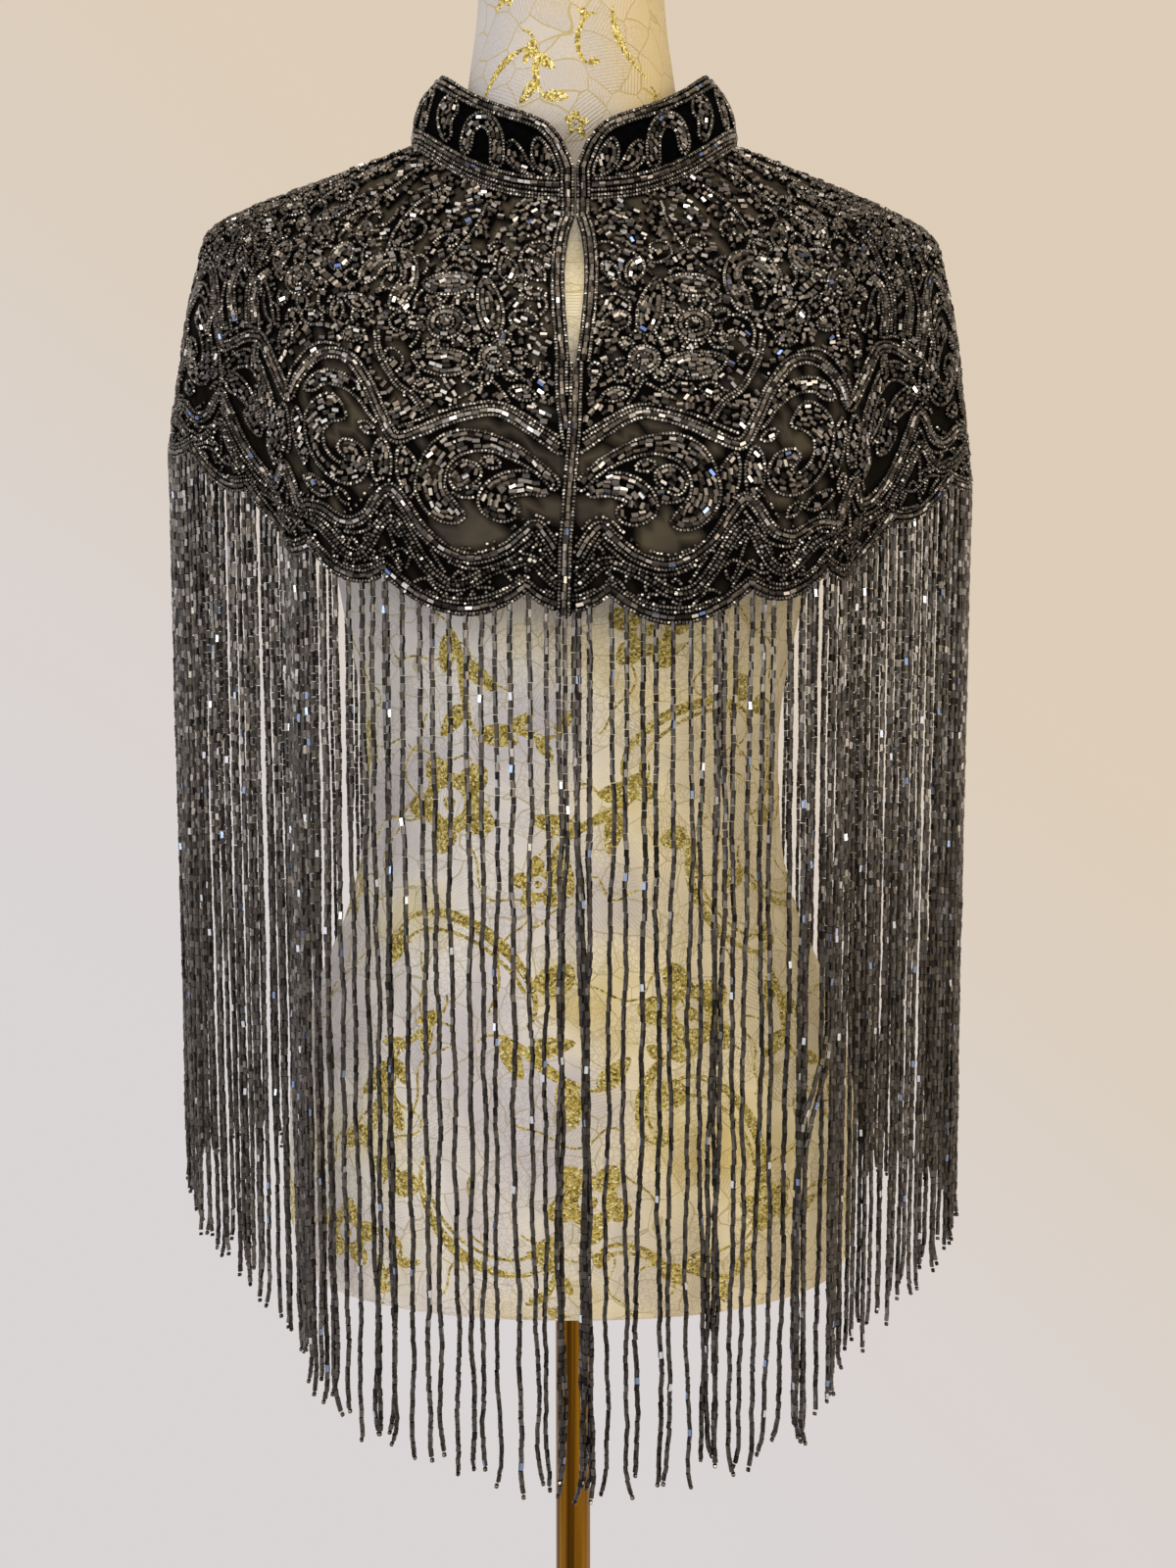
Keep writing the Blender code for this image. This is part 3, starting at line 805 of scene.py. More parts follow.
def rosette(centre, wide, side):
    """A round flower: rings of seed beads and bugles in six oval petals."""
    for size, kind in ((1.0, "seed"), (0.42, "seed"), (0.72, "bugle"), (0.16, "bugle")):
        sew(NET, ring(centre, wide * size, wide * size, side), kind, closed=True)
    for k in range(6):
        a = math.pi * (2 * k + 0.4) / 6
        middle = [(0.80 * wide * math.cos(a), 0.80 * wide * math.sin(a))]
        spot = NET.local((centre[0] * MM * side, centre[1]), middle)
        t = np.linspace(0, 2 * math.pi, 9)[:-1]
        long, short = 0.27 * wide * np.cos(t), 0.2 * wide * np.sin(t)
        oval = [long * math.cos(a) - short * math.sin(a), long * math.sin(a) + short * math.cos(a)]
        motif(NET.local(spot[0], np.stack(oval, 1)))


SHORT_STEM = ((22, 0.575), (26, 0.545), (31, 0.518), (37, 0.530), (46, 0.556))
LONG_STEM = ((60, 0.600), (66, 0.565), (74, 0.545), (82, 0.500), (86, 0.455))
# Beyond the front, groups of this width (mm) run to the back, mirrored in turn.
GROUP_WIDTH = 62
GROUP_STEM = ((36, 0.530), (43, 0.490), (52, 0.475), (60, 0.500))
GROUP_LADDER = ((2, 0.40), (20, 0.385), (34, 0.37), (48, 0.36))


def middle_band(side):
    """The motifs between the yoke and the arches, those in front first."""
    motif(ring((20.5, 0.388), 14, 11, side, 20))
    for path in (PETAL, BLADE, LOW_BLADE, SHOE):
        motif(mm(path, side))
    rosette((55, 0.408), 19, side)
    rosette((31, 0.470), 15, side)
    sew(NET, ring((10.5, 0.492), 6, 9, side), closed=True)
    sew(NET, mm(SHORT_STEM, side))
    sew(NET, mm(LONG_STEM, side), ("seed", "seed"), gap=2.0)
    for i, start in enumerate(range(112, 560, GROUP_WIDTH)):
        flip = i % 2

        def placed(path):
            return [(start + (GROUP_WIDTH - x if flip else x), share) for x, share in path]

        def leaf(x, share, wide, tall, turn):
            motif(ring(*placed([(x, share)]), wide, tall, side, turn if flip else -turn))

        leaf(14, 0.335, 13, 19, 18)
        leaf(38, 0.310, 18, 11, -25)
        rosette(*placed([(28, 0.425)]), 18, side)
        leaf(52, 0.405, 11, 18, 30)
        leaf(10, 0.480, 15, 8, 15)
        sew(NET, mm(placed(GROUP_STEM), side))
        ladder(mm(placed(GROUP_LADDER), side))


# Bands that run down over the shoulder: distance (mm), from share, to share, bow (mm), beads.
SHOULDER_BANDS = (
    (168, 0.45, 0.64, 4, EDGED),
    (181, 0.38, 0.60, -4, ("seed", "seed")),
    (194, 0.46, 0.67, 6, EDGED),
    (210, 0.42, 0.62, -5, ("seed",)),
    (222, 0.47, 0.66, 4, ("seed", "seed")),
)


def flank_bands(side):
    for far, low, high, bow, kinds in SHOULDER_BANDS:
        upper, lower = (2 * low + high) / 3, (low + 2 * high) / 3
        sew(NET, mm(((far - bow, low), (far + bow, upper), (far, lower), (far + bow, high)), side), kinds)


# Where the bare slits of the yoke start at the neck (mm).
SLITS = np.array([45, 87, 127, 168, 210, 252, 296, 340, 386, 432, 480, 530, 580])
# The middles of the sprays between them.
SPRAYS = np.concatenate([[24], (SLITS[:-1] + SLITS[1:]) / 2])


def tulle_shows(spots):
    """Where the net is left bare in the yoke: slits between the sprays, and a few patches."""
    far, share = np.abs(spots[:, 0]) / MM, spots[:, 1]
    across, _ = NET.slopes(spots)
    scale = np.linalg.norm(across, axis=1)
    bare = np.zeros(len(spots), bool)
    for i, slit in enumerate(SLITS):
        wander = 3.5 * np.sin(9 * share + i) + 1.9 * np.sin(37 * share + 2.3 * i)
        gap = np.abs(far - slit - wander) * scale
        wide = 0.72 + 0.38 * np.sin(29 * share + 1.7 * i + 2.0 * np.sin(17 * share + i))
        bare |= gap < 5.4 * wide * np.sin(math.pi * np.clip((share + 0.05) / 0.37, 0, 1)) ** 0.8
    patches = np.sin(far * 0.19 + 3 * np.sin(share * 11)) * np.sin(share * 42 + far * 0.05)
    bare |= (patches > 0.74) & (share > 0.24)
    slits = np.sin(far * 0.55 + 2.2 * np.sin(share * 14))
    bare |= (slits > 0.45) & (far > 130) & (far < 270) & (share > 0.30)
    return bare


def chevrons(spots):
    """The angle of the yoke's bugles: leaves that lean away from the middle of each spray."""
    far = np.abs(spots[:, 0]) / MM
    nearest = SPRAYS[np.abs(far[:, None] - SPRAYS).argmin(1)]
    lean = np.where(far > nearest, -1, 1) * np.sign(spots[:, 0])
    return lean * 42 + 25 * np.sin(far * 0.31 + spots[:, 1] * 40)


def stems(side):
    """Lines of seed beads down the middle of the yoke's sprays."""
    for i, far in enumerate(SPRAYS[1:]):
        bend = 5 if i % 2 else -4
        sew(NET, mm(((far, 0.05), (far + bend, 0.13), (far + 0.5 * bend, 0.21), (far - bend, 0.285)), side))


def yoke(side):
    """The yoke's scattered bugles, clear of the front edges and of the bare net.

    The clearing goes by x alone, so a strip down the middle of the back is left bare as well.
    """
    outer = np.array([(0, 0.016), (HEM_HALF, 0.016), (HEM_HALF, 0.66), (0, 0.66)]) * (side, 1)

    def keep(spots):
        share = spots[:, 1]
        x = cloth(spots[:, 0], share, False)[:, 0]
        open_part = np.abs(x - centre_line(share)) > keyhole(share) + KEYHOLE_CLEAR * MM
        closed_part = np.abs(x - closure_line(share)) > CLOSED_CLEAR * MM
        clear = np.where(share < 0.47, open_part, closed_part)
        return clear & ~tulle_shows(spots) & (share < arch_share(spots[:, 0]) - 0.012)

    scatter(NET, outer, chevrons, 34, keep=keep, seeds=0.05)


def scallop_loops(side):
    """A loop of seed beads round a few round ones above each small scallop."""
    for low, high, drop in LOBES:
        far = (low + high) / 2 / MM
        if drop == BIG_DROP or far * MM > HEM_HALF - 0.01:
            continue
        if far > 1 or side > 0:
            sew(NET, ring((far, 0.905), 9, 8, side), closed=True)
            sew(NET, ring((far, 0.905), 2, 2, side), "round", closed=True)


# Small leaves sewn wherever the motifs leave room for one: length, width (mm).
SMALL_LEAVES = ((19, 9.5), (14, 8), (10, 6.4))
LEAF_OUTLINE = (
    (-1, 0), (-0.5, 0.8), (0.15, 1), (0.7, 0.6), (1, 0), (0.6, -0.65), (0.1, -0.9), (-0.55, -0.6),
)  # fmt: skip
# The rows of places that are tried lie a share of step / MM_PER_SHARE apart.
MM_PER_SHARE = 420
# Room without beads at a leaf's middle before it is tried, and then along its outline.
ROOM_FIRST, ROOM_AROUND = 2.0 * MM, 1.3 * MM


def has_room(path):
    """Whether no bead lies at the path or in its middle."""
    points = np.concatenate([NET.points(path), NET.points(path.mean(0)[None])])
    return not sewn.near([tuple(p) for p in points], ROOM_AROUND, 1.0)


def leaves_between(side, low, high, step, sizes, bare=None):
    """Sews small leaves on the net between two shares, where no other beads are."""
    for length, width in sizes:
        for k, far in enumerate(np.arange(7, HEM_HALF / MM - 8, step)):
            bottom, top = low(far * MM), high(far * MM)
            for j, share in enumerate(np.arange(bottom, top, step / MM_PER_SHARE)):
                spot = (far + 2.5 * math.sin(3.1 * k + j), share)
                if bare is not None and bare(*spot):
                    continue
                centre = (spot[0] * MM * side, spot[1])
                if sewn.near([tuple(NET.points(np.array([centre]))[0])], ROOM_FIRST, 1.0):
                    continue
                for turn in (20 + 37 * j + 23 * k, 95 + 37 * j + 23 * k):
                    outline = np.array(LEAF_OUTLINE) * (length / 2, width / 2)
                    path = NET.local(centre, outline, turn * side)
                    if path[:, 1].max() < top + 0.01 and has_room(spline(path, closed=True, each=3)):
                        motif(path)
                        break


def under_arches(distance):
    return arch_share(distance) + 0.022


def over_arches(distance):
    return arch_share(distance) - 0.04


def over_swags(distance):
    return swag_share(distance) - 0.022


def open_patch(far, share):
    """Where the net stays bare: above the low part of each big swag, and in slits at the sides."""
    in_slit = 150 < far < 270 and math.sin(far * 0.27 + 9 * share) > -0.2
    return in_slit or (18 < far % WAVE_PERIOD < 62 and share > 0.775)


# A hooked line of seed beads, mm across and up.
HOOKED = ((-7.5, -7), (-8, -1), (-5.5, 5), (0, 7.5), (5.5, 5.5), (7, 0.5), (4, -3), (0, -2), (0.5, 1.5))


def curls(side):
    """Hooked lines of seed beads among the bugles of the yoke."""
    for j, share in enumerate((0.205, 0.285, 0.36, 0.435, 0.50)):
        for i, far in enumerate(np.arange(19 + 13 * (j % 2), HEM_HALF / MM - 12, 27 - 2 * j)):
            if share > arch_share(far * MM) - 0.05:
                continue
            size = 1.0 + 0.25 * math.sin(2.3 * i + j)
            hook = np.array(HOOKED) * ((-size, size) if (i + j) % 2 else (size, size))
            turn = 40 * math.sin(1.7 * i + 2.9 * j) + (180 if i % 3 == 1 else 0)
            sew(NET, NET.local((far * MM * side, share), hook, turn))


closure_bands()
for side in (-1, 1):
    hem_rows(side)
for side in (-1, 1):
    wave_bands(side)
    flank_bands(side)
    stems(side)
for side in (-1, 1):
    scroll_band(side)
    middle_band(side)
    scallop_loops(side)
for side in (-1, 1):
    leaves_between(side, under_arches, over_swags, 7, SMALL_LEAVES, open_patch)
    leaves_between(side, lambda distance: 0.26, over_arches, 13, SMALL_LEAVES[:2])
    curls(side)
    yoke(side)


# ---------------------------------------------------------------- the collar's beadwork
# The neck seam's radius, as the places on the collar are counted (m).
BASE_REACH = 0.0885


def collar_place(path, side):
    """Collar places from mm round the neck seam and mm up from it."""
    path = np.asarray(path, float)
    degrees = np.degrees(path[:, 0] * MM / BASE_REACH)
    share = path[:, 1] * MM / smooth(COLLAR, RISE, np.clip(degrees, 0, 180))
    return np.stack([degrees * side, share], 1)


def collar_edge(inset):
    """The collar's front and top edge, in mm round and mm up, moved in by this many mm."""
    degrees = np.concatenate([np.linspace(0, 30, 60), np.linspace(31, 180, 150)])
    top = np.stack([np.radians(degrees) * BASE_REACH, smooth(COLLAR, RISE, degrees)], 1) / MM
    front = np.stack([np.zeros(12), np.linspace(0, top[0, 1], 12, endpoint=False)], 1)
    line = np.concatenate([front, top])
    for _ in range(3):
        line[1:-1] = (line[:-2] + 2 * line[1:-1] + line[2:]) / 4
    heading = unit(np.gradient(line, axis=0))
    return line + np.stack([heading[:, 1], -heading[:, 0]], 1) * inset


# The collar's motifs: mm round from the centre front, mm up.
DROP = ((72, 30), (76, 35), (83, 36), (88, 31), (87, 23), (82, 16), (76, 12.5), (72, 17), (74, 24))
ARCH = (
    (38, 13), (38, 24), (42, 33), (50, 37.5), (58, 35), (63, 27), (64, 15), (60, 11.5), (57, 17),
    (56.5, 25), (51.5, 29.5), (46.5, 26), (45, 19), (44, 12),
)  # fmt: skip
LEAFLET = ((9, 11.5), (15.5, 12), (21, 17), (22.5, 25), (20, 31), (15, 27), (11, 19.5))
BLADELET = ((20, 11.5), (28, 11.5), (34.5, 15.5), (37, 22), (34, 27), (28.5, 24), (24.5, 18))
# Rows of beads inside the collar's front and top edge, and above its seam: mm from it, kind.
EDGE_ROWS = ((1.3, "seed"), (4.0, "bugle"), (6.7, "seed"))
SEAM_ROWS = ((1.2, "seed"), (3.8, "seed"), (6.6, "bugle"), (9.4, "seed"))
# Where more motifs start on the way round to the back (mm), and where they stand and how tall.
MORE_MOTIFS, MOTIF_FOOT, MOTIF_TALL = (98, 128, 148, 178, 198, 228, 248), 11, 0.86


def collar_flat(spots):
    """Metres round the neck seam and up from it, on either side, from places on the collar."""
    degrees = np.abs(spots[:, 0])
    return np.stack([np.radians(degrees) * BASE_REACH, spots[:, 1] * smooth(COLLAR, RISE, degrees)], 1)


def collar_motif(path, side):
    closed = collar_place(spline(path, closed=True), side)
    sew(BAND, closed, raw=True)
    fill(BAND, closed, collar_flat, lambda flat: collar_place(flat / MM, side), side, 14, GAPS_ONLY[:1])


def collar_beads(side):
    """Rows along the collar's edges, its motifs in front and more of them round to the back."""
    for inset, kind in EDGE_ROWS:
        sew(BAND, collar_place(collar_edge(inset), side), kind, raw=True)
    # The two lowest rows reach the front edge, and the others end at the rows inside it.
    for height, kind in SEAM_ROWS:
        u = np.linspace(0.8 if height < 4 else 7.9, 277, 500)
        sew(BAND, collar_place(np.stack([u, np.full(500, height)], 1), side), kind, raw=True)
    for path in (ARCH, DROP, LEAFLET, BLADELET):
        collar_motif(path, side)
    for i, start in enumerate(MORE_MOTIFS):
        shape = np.array(DROP if i % 2 else ARCH, float)
        shape[:, 0] += start - shape[0, 0]
        shape[:, 1] = MOTIF_FOOT + (shape[:, 1] - MOTIF_FOOT) * MOTIF_TALL
        collar_motif(shape, side)


NET_BEADS, sewn = sewn, Beads()
for side in (-1, 1):
    collar_beads(side)
COLLAR_BEADS = sewn


# ---------------------------------------------------------------- the fringe
# Room for a strand (mm) by its distance round the hem (mm): open in front, close at the sides.
STRAND_ROOM = np.array([(0, 7.7), (125, 7.4), (165, 4.2), (300, 4.5), (420, 5.4), (520, 6.2), (700, 6.2)])
STRAND_RADIUS, STRAND_LENGTH, STRAND_PITCH = 1.29 * MM, 3.62 * MM, 3.85 * MM
END_RADIUS, END_LENGTH = 1.15 * MM, 1.6 * MM
# Strands that hang askew: distance (mm), sideways shift (mm), where it starts and ends on the way down.
ASKEW = (
    (-30, 3.4, 0.35, 1.0),
    (-23, -3.2, 0.35, 1.0),
    (42, 3.3, 0.55, 1.0),
    (50, -3.6, 0.45, 1.0),
    (3, 3.0, 0.15, 0.6),
    (-101, 5.0, 0.50, 1.0),
    (-93, -4.2, 0.62, 1.0),
    (88, -4.5, 0.10, 0.9),
    (142, -26.0, 0.52, 0.66),
    (-140, 4.5, 0.20, 0.7),
)
# More strands where the fronts meet, and at the front seams (mm).
DOUBLED = (-1.5, 2.5, 6.0, 9.5, 71, 76, -88, 121, -126)


def strand_homes():
    """Where the strands are sewn, round the whole hem."""
    found = list(DOUBLED)
    for side in (-1, 1):
        far = 0.5 * STRAND_ROOM[0, 1]
        while far < HEM_HALF / MM - 2:
            found.append(side * far)
            far += np.interp(far, *STRAND_ROOM.T)
    homes = np.array(sorted(found))
    room = np.interp(np.abs(homes), *STRAND_ROOM.T)
    beyond = np.clip((np.abs(homes) - 120) / 30, 0, 1)
    bunched = 0.21 * room * np.sin(1.9 * np.arange(len(homes))) * beyond
    return (homes + bunched + (rng.random(len(homes)) - 0.5) * (0.42 - 0.24 * beyond) * room) * MM


def strand_line(top, end_z, home, draws):
    """A strand's line from its top down, waving a little, with a curled end."""
    fall = top[2] - end_z
    down = np.linspace(0, 1, 120)
    outward = unit(np.array([top[0], top[1], 0.0]))
    around = np.array([-outward[1], outward[0], 0.0])
    wave = sum(
        a * MM * np.sin(2 * math.pi * (f * (1 + 0.3 * q) * down + p)) * (down * 4).clip(0, 1)
        for a, f, p, q in zip((1.0, 0.55, 0.4, 0.22), (0.9, 2.6, 6.1, 13), draws[3:7], draws[4:8])
    )
    # Strands at the sides hang straighter, and the last bit of each turns away.
    calm = 1 - 0.45 * np.clip((abs(home) / MM - 110) / 40, 0, 1)
    wave = wave * calm
    end = np.clip((down - 0.955) / 0.045, 0, 1) ** 2
    aside = wave + (draws[1] - 0.5) * 4.4 * MM * calm * down**1.3 + (draws[6] - 0.5) * 9 * MM * end
    away = 0.5 * np.roll(wave, 7) + (draws[2] - 0.5) * 3 * MM * down**1.3 + (draws[7] - 0.5) * 6 * MM * end
    for place, shift, start, stop in ASKEW:
        if abs(home / MM - place) < 3.6:
            u = np.clip((down - start) / (stop - start), 0, 1)
            aside = aside + shift * MM * u * u * (3 - 2 * u)
            away = away + abs(shift) / 12 * MM * u
    line = top + around * aside[:, None] + outward * away[:, None]
    line[:, 2] = top[2] - fall * down
    return line, outward


def fringe():
    """The beads of every strand, a seed bead last."""
    homes = strand_homes()
    tops = cloth(homes, edge_share(homes))
    ends = cloth(homes, 1.0)[:, 2] - FRINGE_LENGTH
    normals = NET.normals(np.stack([homes, edge_share(homes) - 0.004], 1))
    draws = rng.random((len(homes), 8))
    rows = []
    for i, home in enumerate(homes):
        top = tops[i] + normals[i] * 0.5 * MM + (0, 0, 1.0 * MM)
        # Most strands end a little low, and a few higher.
        end = ends[i] + (draws[i, 0] ** 1.6 - 0.58) * 17 * MM
        line, outward = strand_line(top, end, home, draws[i])
        far = run_of(line)
        beads = int(far[-1] / STRAND_PITCH)
        stops = (np.arange(beads) + 0.5) * STRAND_PITCH
        places = along_line(stops, far, line)
        ahead = along_line(stops + 1 * MM, far, line)
        along = unit(ahead - places + (rng.random((beads, 3)) - 0.5) * 0.2 * MM)
        places += (rng.random((beads, 3)) - 0.5) * 0.3 * MM
        radius = STRAND_RADIUS * (0.93 + 0.14 * draws[i, 3])
        for k in range(beads - 1):
            rows.append((places[k], along[k], outward, radius, STRAND_LENGTH, "strand", home))
        rows.append((places[-1], along[-1], outward, END_RADIUS, END_LENGTH, "seed", home))
    return rows


FRINGE_ROWS = fringe()


# ---------------------------------------------------------------- materials
class Nodes:
    """A short way to write the node tree of a material or a world."""

    def __init__(self, name, family="materials", shader="Principled BSDF"):
        self.owner = getattr(bpy.data, family).new(name)
        self.owner.use_nodes = True
        self.tree = self.owner.node_tree
        self.shader = self.tree.nodes[shader]

    def fill(self, socket, value):
        if isinstance(value, bpy.types.NodeSocket):
            self.tree.links.new(value, socket)
        elif isinstance(value, tuple) and socket.type == "RGBA":
            socket.default_value = (*value, 1)
        else:
            socket.default_value = value

    def node(self, kind, inputs=None, **settings):
        made = self.tree.nodes.new("ShaderNode" + kind)
        for key, value in settings.items():
            setattr(made, key, value)
        for key, value in (inputs or {}).items():
            self.fill(made.inputs[key], value)
        return made

    def maths(self, operation, *values, clamp=False):
        return self.node("Math", dict(enumerate(values)), operation=operation, use_clamp=clamp).outputs[0]

    def times(self, *values):
        return self.maths("MULTIPLY", *values)

    def plus(self, *values):
        return self.maths("ADD", *values)

    def noise(self, scale, detail, output="Fac", **more):
        if "Vector" not in more:
            more["Vector"] = self.at()
        return self.node("TexNoise", {"Scale": scale, "Detail": detail, **more}).outputs[output]

    def parts(self, vector):
        return self.node("SeparateXYZ", {0: vector}).outputs

    def ramp(self, factor, *stops):
        """Colours by factor, each stop as its place and colour."""
        made = self.node("ValToRGB", {0: factor})
        marks = made.color_ramp.elements
        while len(marks) < len(stops):
            marks.new(0.5)
        for mark, (place, colour) in zip(marks, stops):
            mark.position = place
            mark.color = (*colour, 1)
        return made.outputs["Color"]

    def mix(self, factor, low, high):
        made = self.node("Mix", data_type="RGBA")
        for key, value in ((0, factor), (6, low), (7, high)):
            self.fill(made.inputs[key], value)
        return made.outputs[2]

    def bump(self, height, strength, distance):
        made = self.node("Bump", {"Height": height, "Strength": strength, "Distance": distance})
        self.tree.links.new(made.outputs[0], self.shader.inputs["Normal"])

    def set(self, **values):
        for key, value in values.items():
            self.fill(self.shader.inputs[key.replace("_", " ")], value)
        return self.owner

    def at(self):
        return self.node("TexCoord").outputs["Object"]


def bead_material(name, stops, roughness):
    n = Nodes(name)
    tone_and_painted_light = n.node("Attribute", attribute_name="tone_and_painted_light").outputs["Fac"]
    return n.set(Base_Color=n.ramp(tone_and_painted_light, *stops), Metallic=0.9, Roughness=roughness)


# Diagonal threads of the tulle in a metre, across and down.
THREADS_ACROSS, THREADS_DOWN = 900, 640


def net_material():
    """Fine dark tulle: diagonal threads that the form shows through where the net is bare. Elsewhere it is
    near-black and opaque: sewing thread and painted shade among the beads, painted shade low down and at the
    flanks.
    """
    n = Nodes("tulle")
    u, v, _ = n.parts(n.node("UVMap", uv_map="weave").outputs[0])
    threads = []
    for down in (THREADS_DOWN, -THREADS_DOWN):
        line = n.plus(n.times(u, THREADS_ACROSS), n.times(v, down))
        saw = n.maths("ABSOLUTE", n.maths("SUBTRACT", n.maths("FRACT", line), 0.5))
        threads.append(n.maths("GREATER_THAN", saw, 0.36))
    thread = n.maths("MAXIMUM", *threads)
    yarn = n.ramp(n.noise(60, 3), (0.35, (0.050, 0.043, 0.037)), (0.62, (0.115, 0.094, 0.062)))
    bare = n.node("Attribute", attribute_name="bare").outputs["Fac"]
    # Where the net is not bare, its threads take a near-black colour and its holes close: painted shade.
    colour = n.mix(n.times(thread, bare), (0.0020, 0.0017, 0.0015), yarn)
    clear = n.times(n.maths("SUBTRACT", 1.0, thread), n.times(bare, 0.42))
    alpha = n.maths("SUBTRACT", 0.985, clear, clamp=True)
    return n.set(Base_Color=colour, Roughness=0.8, Alpha=alpha, Specular_IOR_Level=0.02)


def velvet_material():
    n = Nodes("velvet")
    colour = n.ramp(n.noise(240, 3), (0.3, (0.0003, 0.0003, 0.0004)), (0.7, (0.0016, 0.0015, 0.0016)))
    n.bump(n.noise(1900, 1), 0.5, 0.3 * MM)
    return n.set(
        Base_Color=colour, Roughness=0.95, Sheen_Weight=0.01, Sheen_Roughness=0.4, Specular_IOR_Level=0.01
    )


# Patches of the form's lace in a metre, and the width of a rib.
PATCHES, RIB_WIDTH = 50, 1.7 * MM


def lace_material():
    """Cream lace over padding: ribbed and netted cells, pale gold cords, with painted cool light to the
    wearer's right, painted warm light to the left and painted shade on the neck.
    """
    n = Nodes("lace")
    warp = n.node("VectorMath", {0: n.noise(26, 2, "Color"), "Scale": 0.02}, operation="SCALE").outputs[0]
    where = n.node("VectorMath", {0: n.at(), 1: warp}, operation="ADD").outputs[0]

    def cell_edges(scale, width):
        edge = n.node("TexVoronoi", {"Vector": where, "Scale": scale}, feature="DISTANCE_TO_EDGE")
        return n.maths("LESS_THAN", edge.outputs["Distance"], width)

    def towards_left(right, left):
        """A colour that goes from painted cool light on the wearer's right to painted warm light on the
        left.
        """
        return n.mix(painted_warm_side, right, left)

    x, _, up = n.parts(n.at())
    cloud = n.noise(14, 4)
    wander = n.plus(x, n.times(n.maths("SUBTRACT", cloud, 0.5), 0.16))
    painted_warm_side = {0: wander, 1: -0.05, 2: 0.07}
    painted_warm_side = n.node("MapRange", painted_warm_side, interpolation_type="SMOOTHSTEP").outputs[0]
    # Above the collar the lace takes darker colours: painted shade on the neck.
    neck = n.node("MapRange", {0: up, 1: 1.325, 2: 1.345}).outputs[0]
    painted_cool_light = n.ramp(cloud, (0.35, (0.70, 0.66, 0.68)), (0.55, (0.90, 0.86, 0.80)), (0.70, (0.86, 0.77, 0.50)))
    painted_warm_light = n.ramp(cloud, (0.35, (0.76, 0.66, 0.44)), (0.55, (0.93, 0.82, 0.54)), (0.70, (0.74, 0.59, 0.25)))
    colour = n.mix(neck, towards_left(painted_cool_light, painted_warm_light), towards_left((0.49, 0.465, 0.455), (0.62, 0.49, 0.25)))

    # Each patch has its own direction of ribs, and some patches are netted.
    patch = n.node("TexVoronoi", {"Vector": where, "Scale": PATCHES}).outputs["Color"]
    angle, strength, kind = n.parts(patch)
    angle = n.times(angle, math.pi)
    across = n.plus(n.times(x, n.maths("COSINE", angle)), n.times(up, n.maths("SINE", angle)))
    ribs = n.maths("SINE", n.times(across, 2 * math.pi / RIB_WIDTH))
    ribbed = n.times(n.plus(ribs, 1.0), n.times(strength, 0.5))
    netted = n.times(cell_edges(300, 0.07), n.maths("GREATER_THAN", kind, 0.45))
    cords = cell_edges(PATCHES, 0.013)
    corded = n.node("MapRange", {0: neck, 3: 0.55, 4: 0.8}).outputs[0]
    colour = n.mix(n.times(ribbed, 0.14), colour, towards_left((0.34, 0.32, 0.32), (0.42, 0.31, 0.12)))
    colour = n.mix(n.times(netted, 0.35), colour, towards_left((0.40, 0.37, 0.35), (0.46, 0.33, 0.10)))
    colour = n.mix(n.times(cords, corded), colour, (0.44, 0.33, 0.08))

    mesh = n.node("TexVoronoi", {"Vector": n.at(), "Scale": 900}).outputs["Distance"]
    height = n.plus(n.times(mesh, 0.4), n.plus(ribbed, cords))
    height = n.plus(height, n.times(n.noise(11, 2, Distortion=0.8), 14.0))
    n.bump(height, 0.6, 0.6 * MM)
    return n.set(Base_Color=colour, Roughness=0.62, Sheen_Weight=0.15)


def gold_material():
    """Gold glitter stitching: dark to bright specks on a mustard ground, the brightest of them a painted
    glint.
    """
    n = Nodes("gold_stitching")
    speck = n.node("TexVoronoi", {"Vector": n.at(), "Scale": 820})
    dark, ground = (0.20, 0.14, 0.025), (0.56, 0.43, 0.09)
    # The glint colour is a painted glint of the glitter.
    bright, glint = (0.86, 0.71, 0.22), (1.0, 0.96, 0.66)
    pick = n.parts(speck.outputs["Color"])[0]
    colour = n.ramp(pick, (0.0, dark), (0.4, ground), (0.8, bright), (1.0, glint))
    n.bump(speck.outputs["Distance"], 1.0, 1 * MM)
    return n.set(Base_Color=colour, Metallic=0.45, Roughness=0.34)


def brass_material():
    """Brass with long dark and bright streaks up the pole: painted reflections."""
    n = Nodes("brass_polished")
    long = n.node("VectorMath", {0: n.at(), 1: (1, 1, 0.01)}, operation="MULTIPLY").outputs[0]
    painted_reflection_streak = n.noise(150, 2, Vector=long)
    dark, middle, bright = (0.045, 0.017, 0.002), (0.12, 0.050, 0.004), (0.38, 0.18, 0.012)
    colour = n.ramp(painted_reflection_streak, (0.36, dark), (0.50, middle), (0.62, bright))
    return n.set(Base_Color=colour, Metallic=1.0, Roughness=n.plus(n.times(painted_reflection_streak, 0.12), 0.24))


def turned_material():
    """Brass turned on a lathe: faint rings round the middle of the base."""
    n = Nodes("brass_turned")
    flat = n.node("VectorMath", {0: n.at(), 1: (1, 1, 0)}, operation="MULTIPLY").outputs[0]
    radius = n.node("VectorMath", {0: flat}, operation="LENGTH").outputs["Value"]
    rings = {"W": radius, "Scale": 420, "Detail": 2}
    rings = n.node("TexNoise", rings, noise_dimensions="1D").outputs["Fac"]
    colour = n.ramp(rings, (0.3, (0.22, 0.105, 0.010)), (0.7, (0.33, 0.165, 0.018)))
    return n.set(Base_Color=colour, Metallic=1.0, Roughness=n.plus(n.times(rings, 0.10), 0.22))
